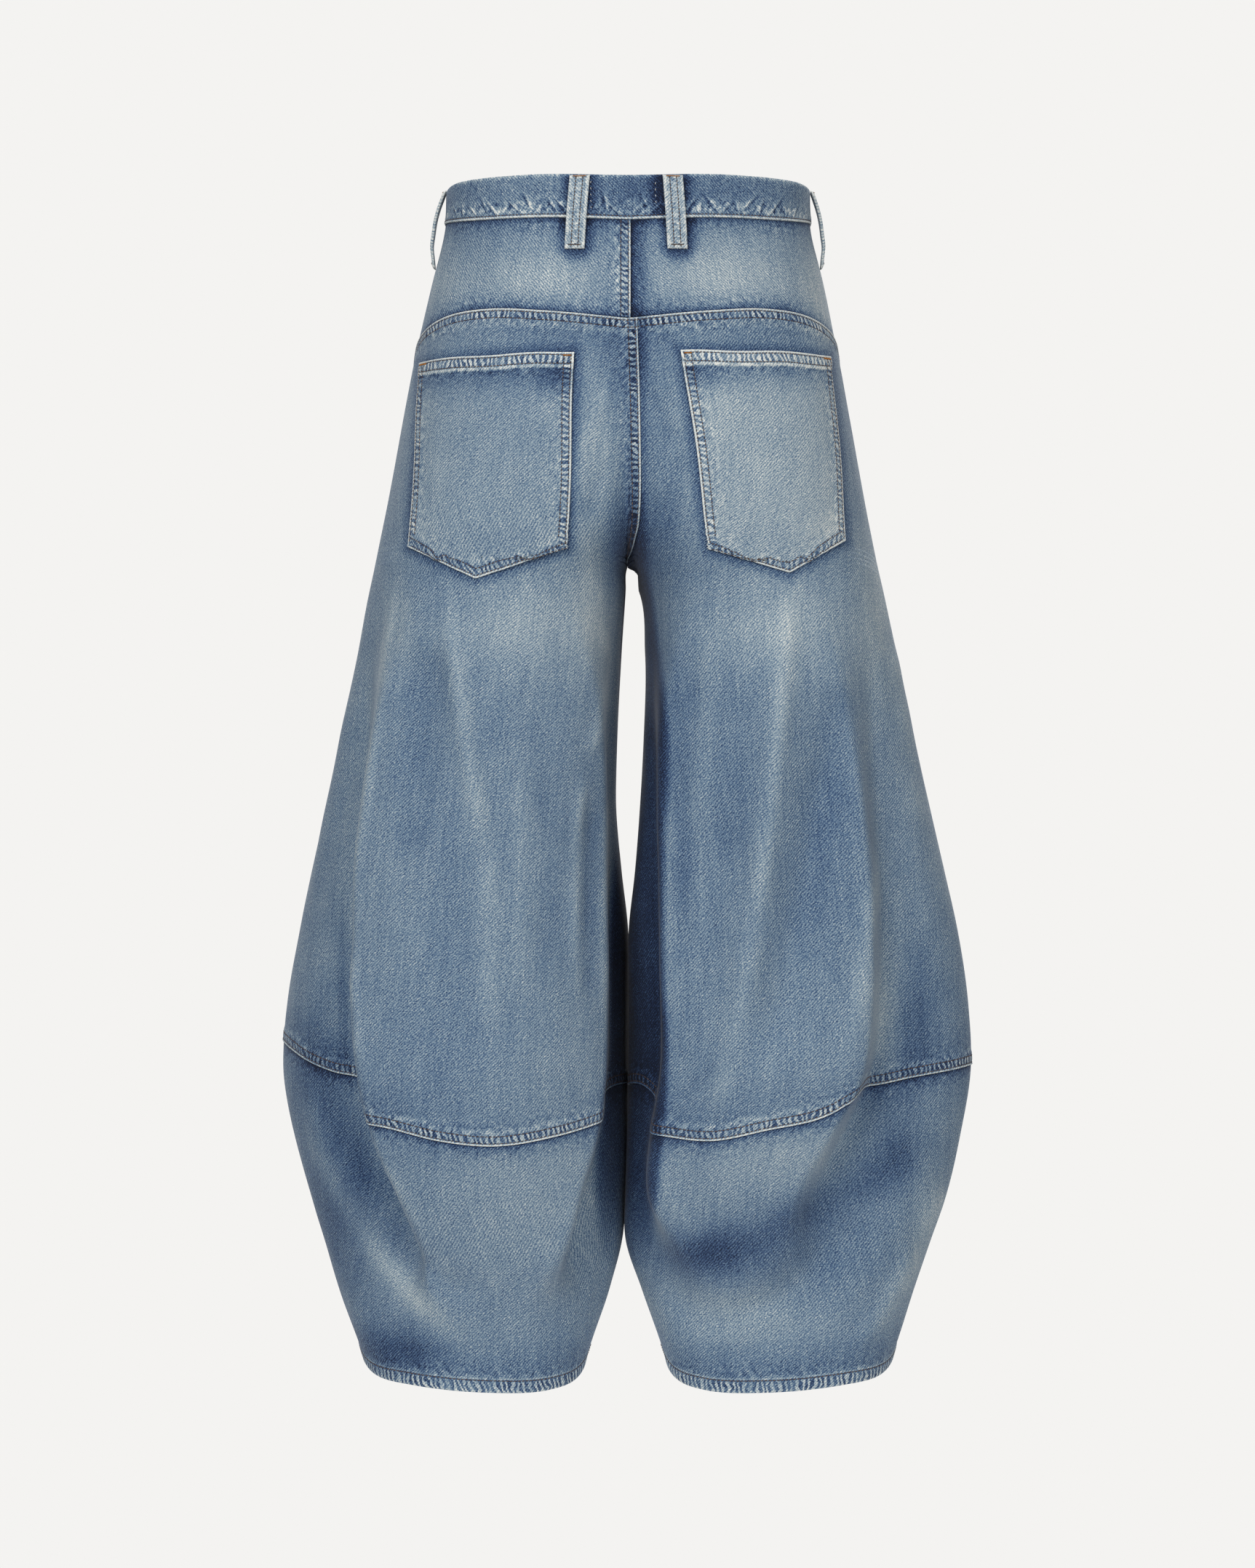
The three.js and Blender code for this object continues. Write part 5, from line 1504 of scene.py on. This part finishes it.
for name, (leg, face, from_middle, lean, shape) in LOOPS.items():
    top, low = shape[0][0], shape[-1][0]
    heights = np.linspace(top, low, LOOP_ROWS)
    clear = through(shape, 1, heights)
    lines = {}
    for offset, _ in LOOP_SECTION:
        side = offset * LOOP_WIDTH / 2
        if face == "side":
            half_face = "back" if side < 0 else "front"
            share = 1 - abs(side) / length_at(leg, half_face, heights)[0]
            lines[offset] = cloth_at(leg, half_face, share, heights)
        else:
            x = from_middle + lean * (top - heights) / (top - low) + side
            lines[offset] = cloth_at(leg, face, share_of(leg, face, x, heights), heights)
    sections, tiles = [], []
    ends = np.minimum(1, 0.55 + np.minimum(top - heights, heights - low) / 2.5)
    end_pale = 0.16 * np.exp(-(heights - low) / 2) + 0.1 * np.exp(-(top - heights) / 3)
    for offset, high in LOOP_SECTION:
        points, normals = lines[offset]
        sections.append(points + normals * (clear + high * ends)[:, None])
        worn = BASE_FADE + 0.15 + 0.14 * (abs(offset) > 0.75) - 0.14 * (0.3 < abs(offset) < 0.4) + end_pale
        ladder = np.full(LOOP_ROWS, 0.35 if abs(offset) < 0.34 and face != "side" else 0)
        none = np.zeros(LOOP_ROWS)
        across = none + offset * LOOP_WIDTH / 2 + from_middle
        tiles.append(np.stack([across, heights, np.clip(worn, 0, 1), none, ladder, none + 0.5], axis=-1))
    piece = loft(
        f"{name}_cloth", np.stack(sections, axis=1), np.stack(tiles, axis=1), denim_length, name,
    )
    rows = []
    for offset in (-LOOP_STITCH, LOOP_STITCH):
        points, normals = lines[offset]
        rows.append(((points + normals * (clear + LOOP_GROOVE)[:, None])[1:-1], normals[1:-1]))
    stitches(f"{name}_stitching", rows, brown_thread, **FINE_STITCH)
    for at, material, end in ((1, orange_thread, "upper"), (LOOP_ROWS - 4, brown_thread, "lower")):
        spots = [lines[o][0][at] + lines[o][1][at] * (clear[at] + LOOP_FACE) for o in LOOP_TACK_AT]
        ups = [lines[o][1][at] for o in LOOP_TACK_AT]
        tacks = bartack(np.array(spots), np.array(ups), LOOP_TACK_WIDE)
        stitches(f"{name}_{end}_bartack", tacks, material, **LOOP_TACK)


# Button
# A cast copper shank button with a raised rim and a plain, slightly domed middle, unevenly aged.
BUTTON_PLACE = (13, 0.5)
BUTTON_GAP = 0.35
BUTTON_SECTION = [
    (0, 0), (4, 0), (4.2, 0.2), (4.2, 1.2), (7.4, 1.25), (8, 1.35), (8.4, 1.7), (8.5, 2.2), (8.35, 2.75),
    (7.95, 3.15), (7.4, 3.3), (6.95, 3.2), (6.6, 2.85), (6.3, 2.65), (5.6, 2.65), (4.4, 2.8), (3, 2.98),
    (1.5, 3.1), (0, 3.15),
]
BUTTON_SIDES = 64
share = share_of("left", "front", np.array([float(BUTTON_PLACE[0])]), np.array([BUTTON_PLACE[1]]))
seat, seat_normal = cloth_at("left", "front", share, np.array([BUTTON_PLACE[1]]))
up = seat_normal[0]
beside = np.cross(up, (0, 0, 1))
beside /= np.linalg.norm(beside)
above = np.cross(beside, up)
base = seat[0] + up * (BAND_PROUD + BUTTON_GAP)
points, faces = [], []
for radius, height in BUTTON_SECTION[1:-1]:
    for s in range(BUTTON_SIDES):
        a = 2 * math.pi * s / BUTTON_SIDES
        points.append(base + up * height + (math.cos(a) * beside + math.sin(a) * above) * radius)
ring_count = len(BUTTON_SECTION) - 2
for s in range(BUTTON_SIDES):
    t = (s + 1) % BUTTON_SIDES
    for r in range(ring_count - 1):
        a, b = r * BUTTON_SIDES, (r + 1) * BUTTON_SIDES
        faces.append((a + s, a + t, b + t, b + s))
faces.append(tuple(reversed(range(BUTTON_SIDES))))
faces.append(tuple((ring_count - 1) * BUTTON_SIDES + s for s in range(BUTTON_SIDES)))
button_mesh = bpy.data.meshes.new("button_copper")
button_mesh.from_pydata((np.array(points) * MM).tolist(), [], faces)
button_mesh.polygons.foreach_set("use_smooth", np.ones(len(faces), bool))
copper, copper_tree, copper_shader = new_material("aged_copper", {"Metallic": 1})
tarnish = two_tones(copper_tree, copper_shader, 420, 4, (0.35, 0.65), ("#6f4a33", "#b98663"))
rough = add_node(
    copper_tree, "ShaderNodeMapRange", inputs={"Value": tarnish, "To Min": 0.3, "To Max": 0.55}
)
copper_tree.links.new(rough.outputs[0], copper_shader.inputs["Roughness"])
button_mesh.materials.append(copper)
button = into_scene("button_copper", button_mesh)
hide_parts("button")
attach(button, "root")
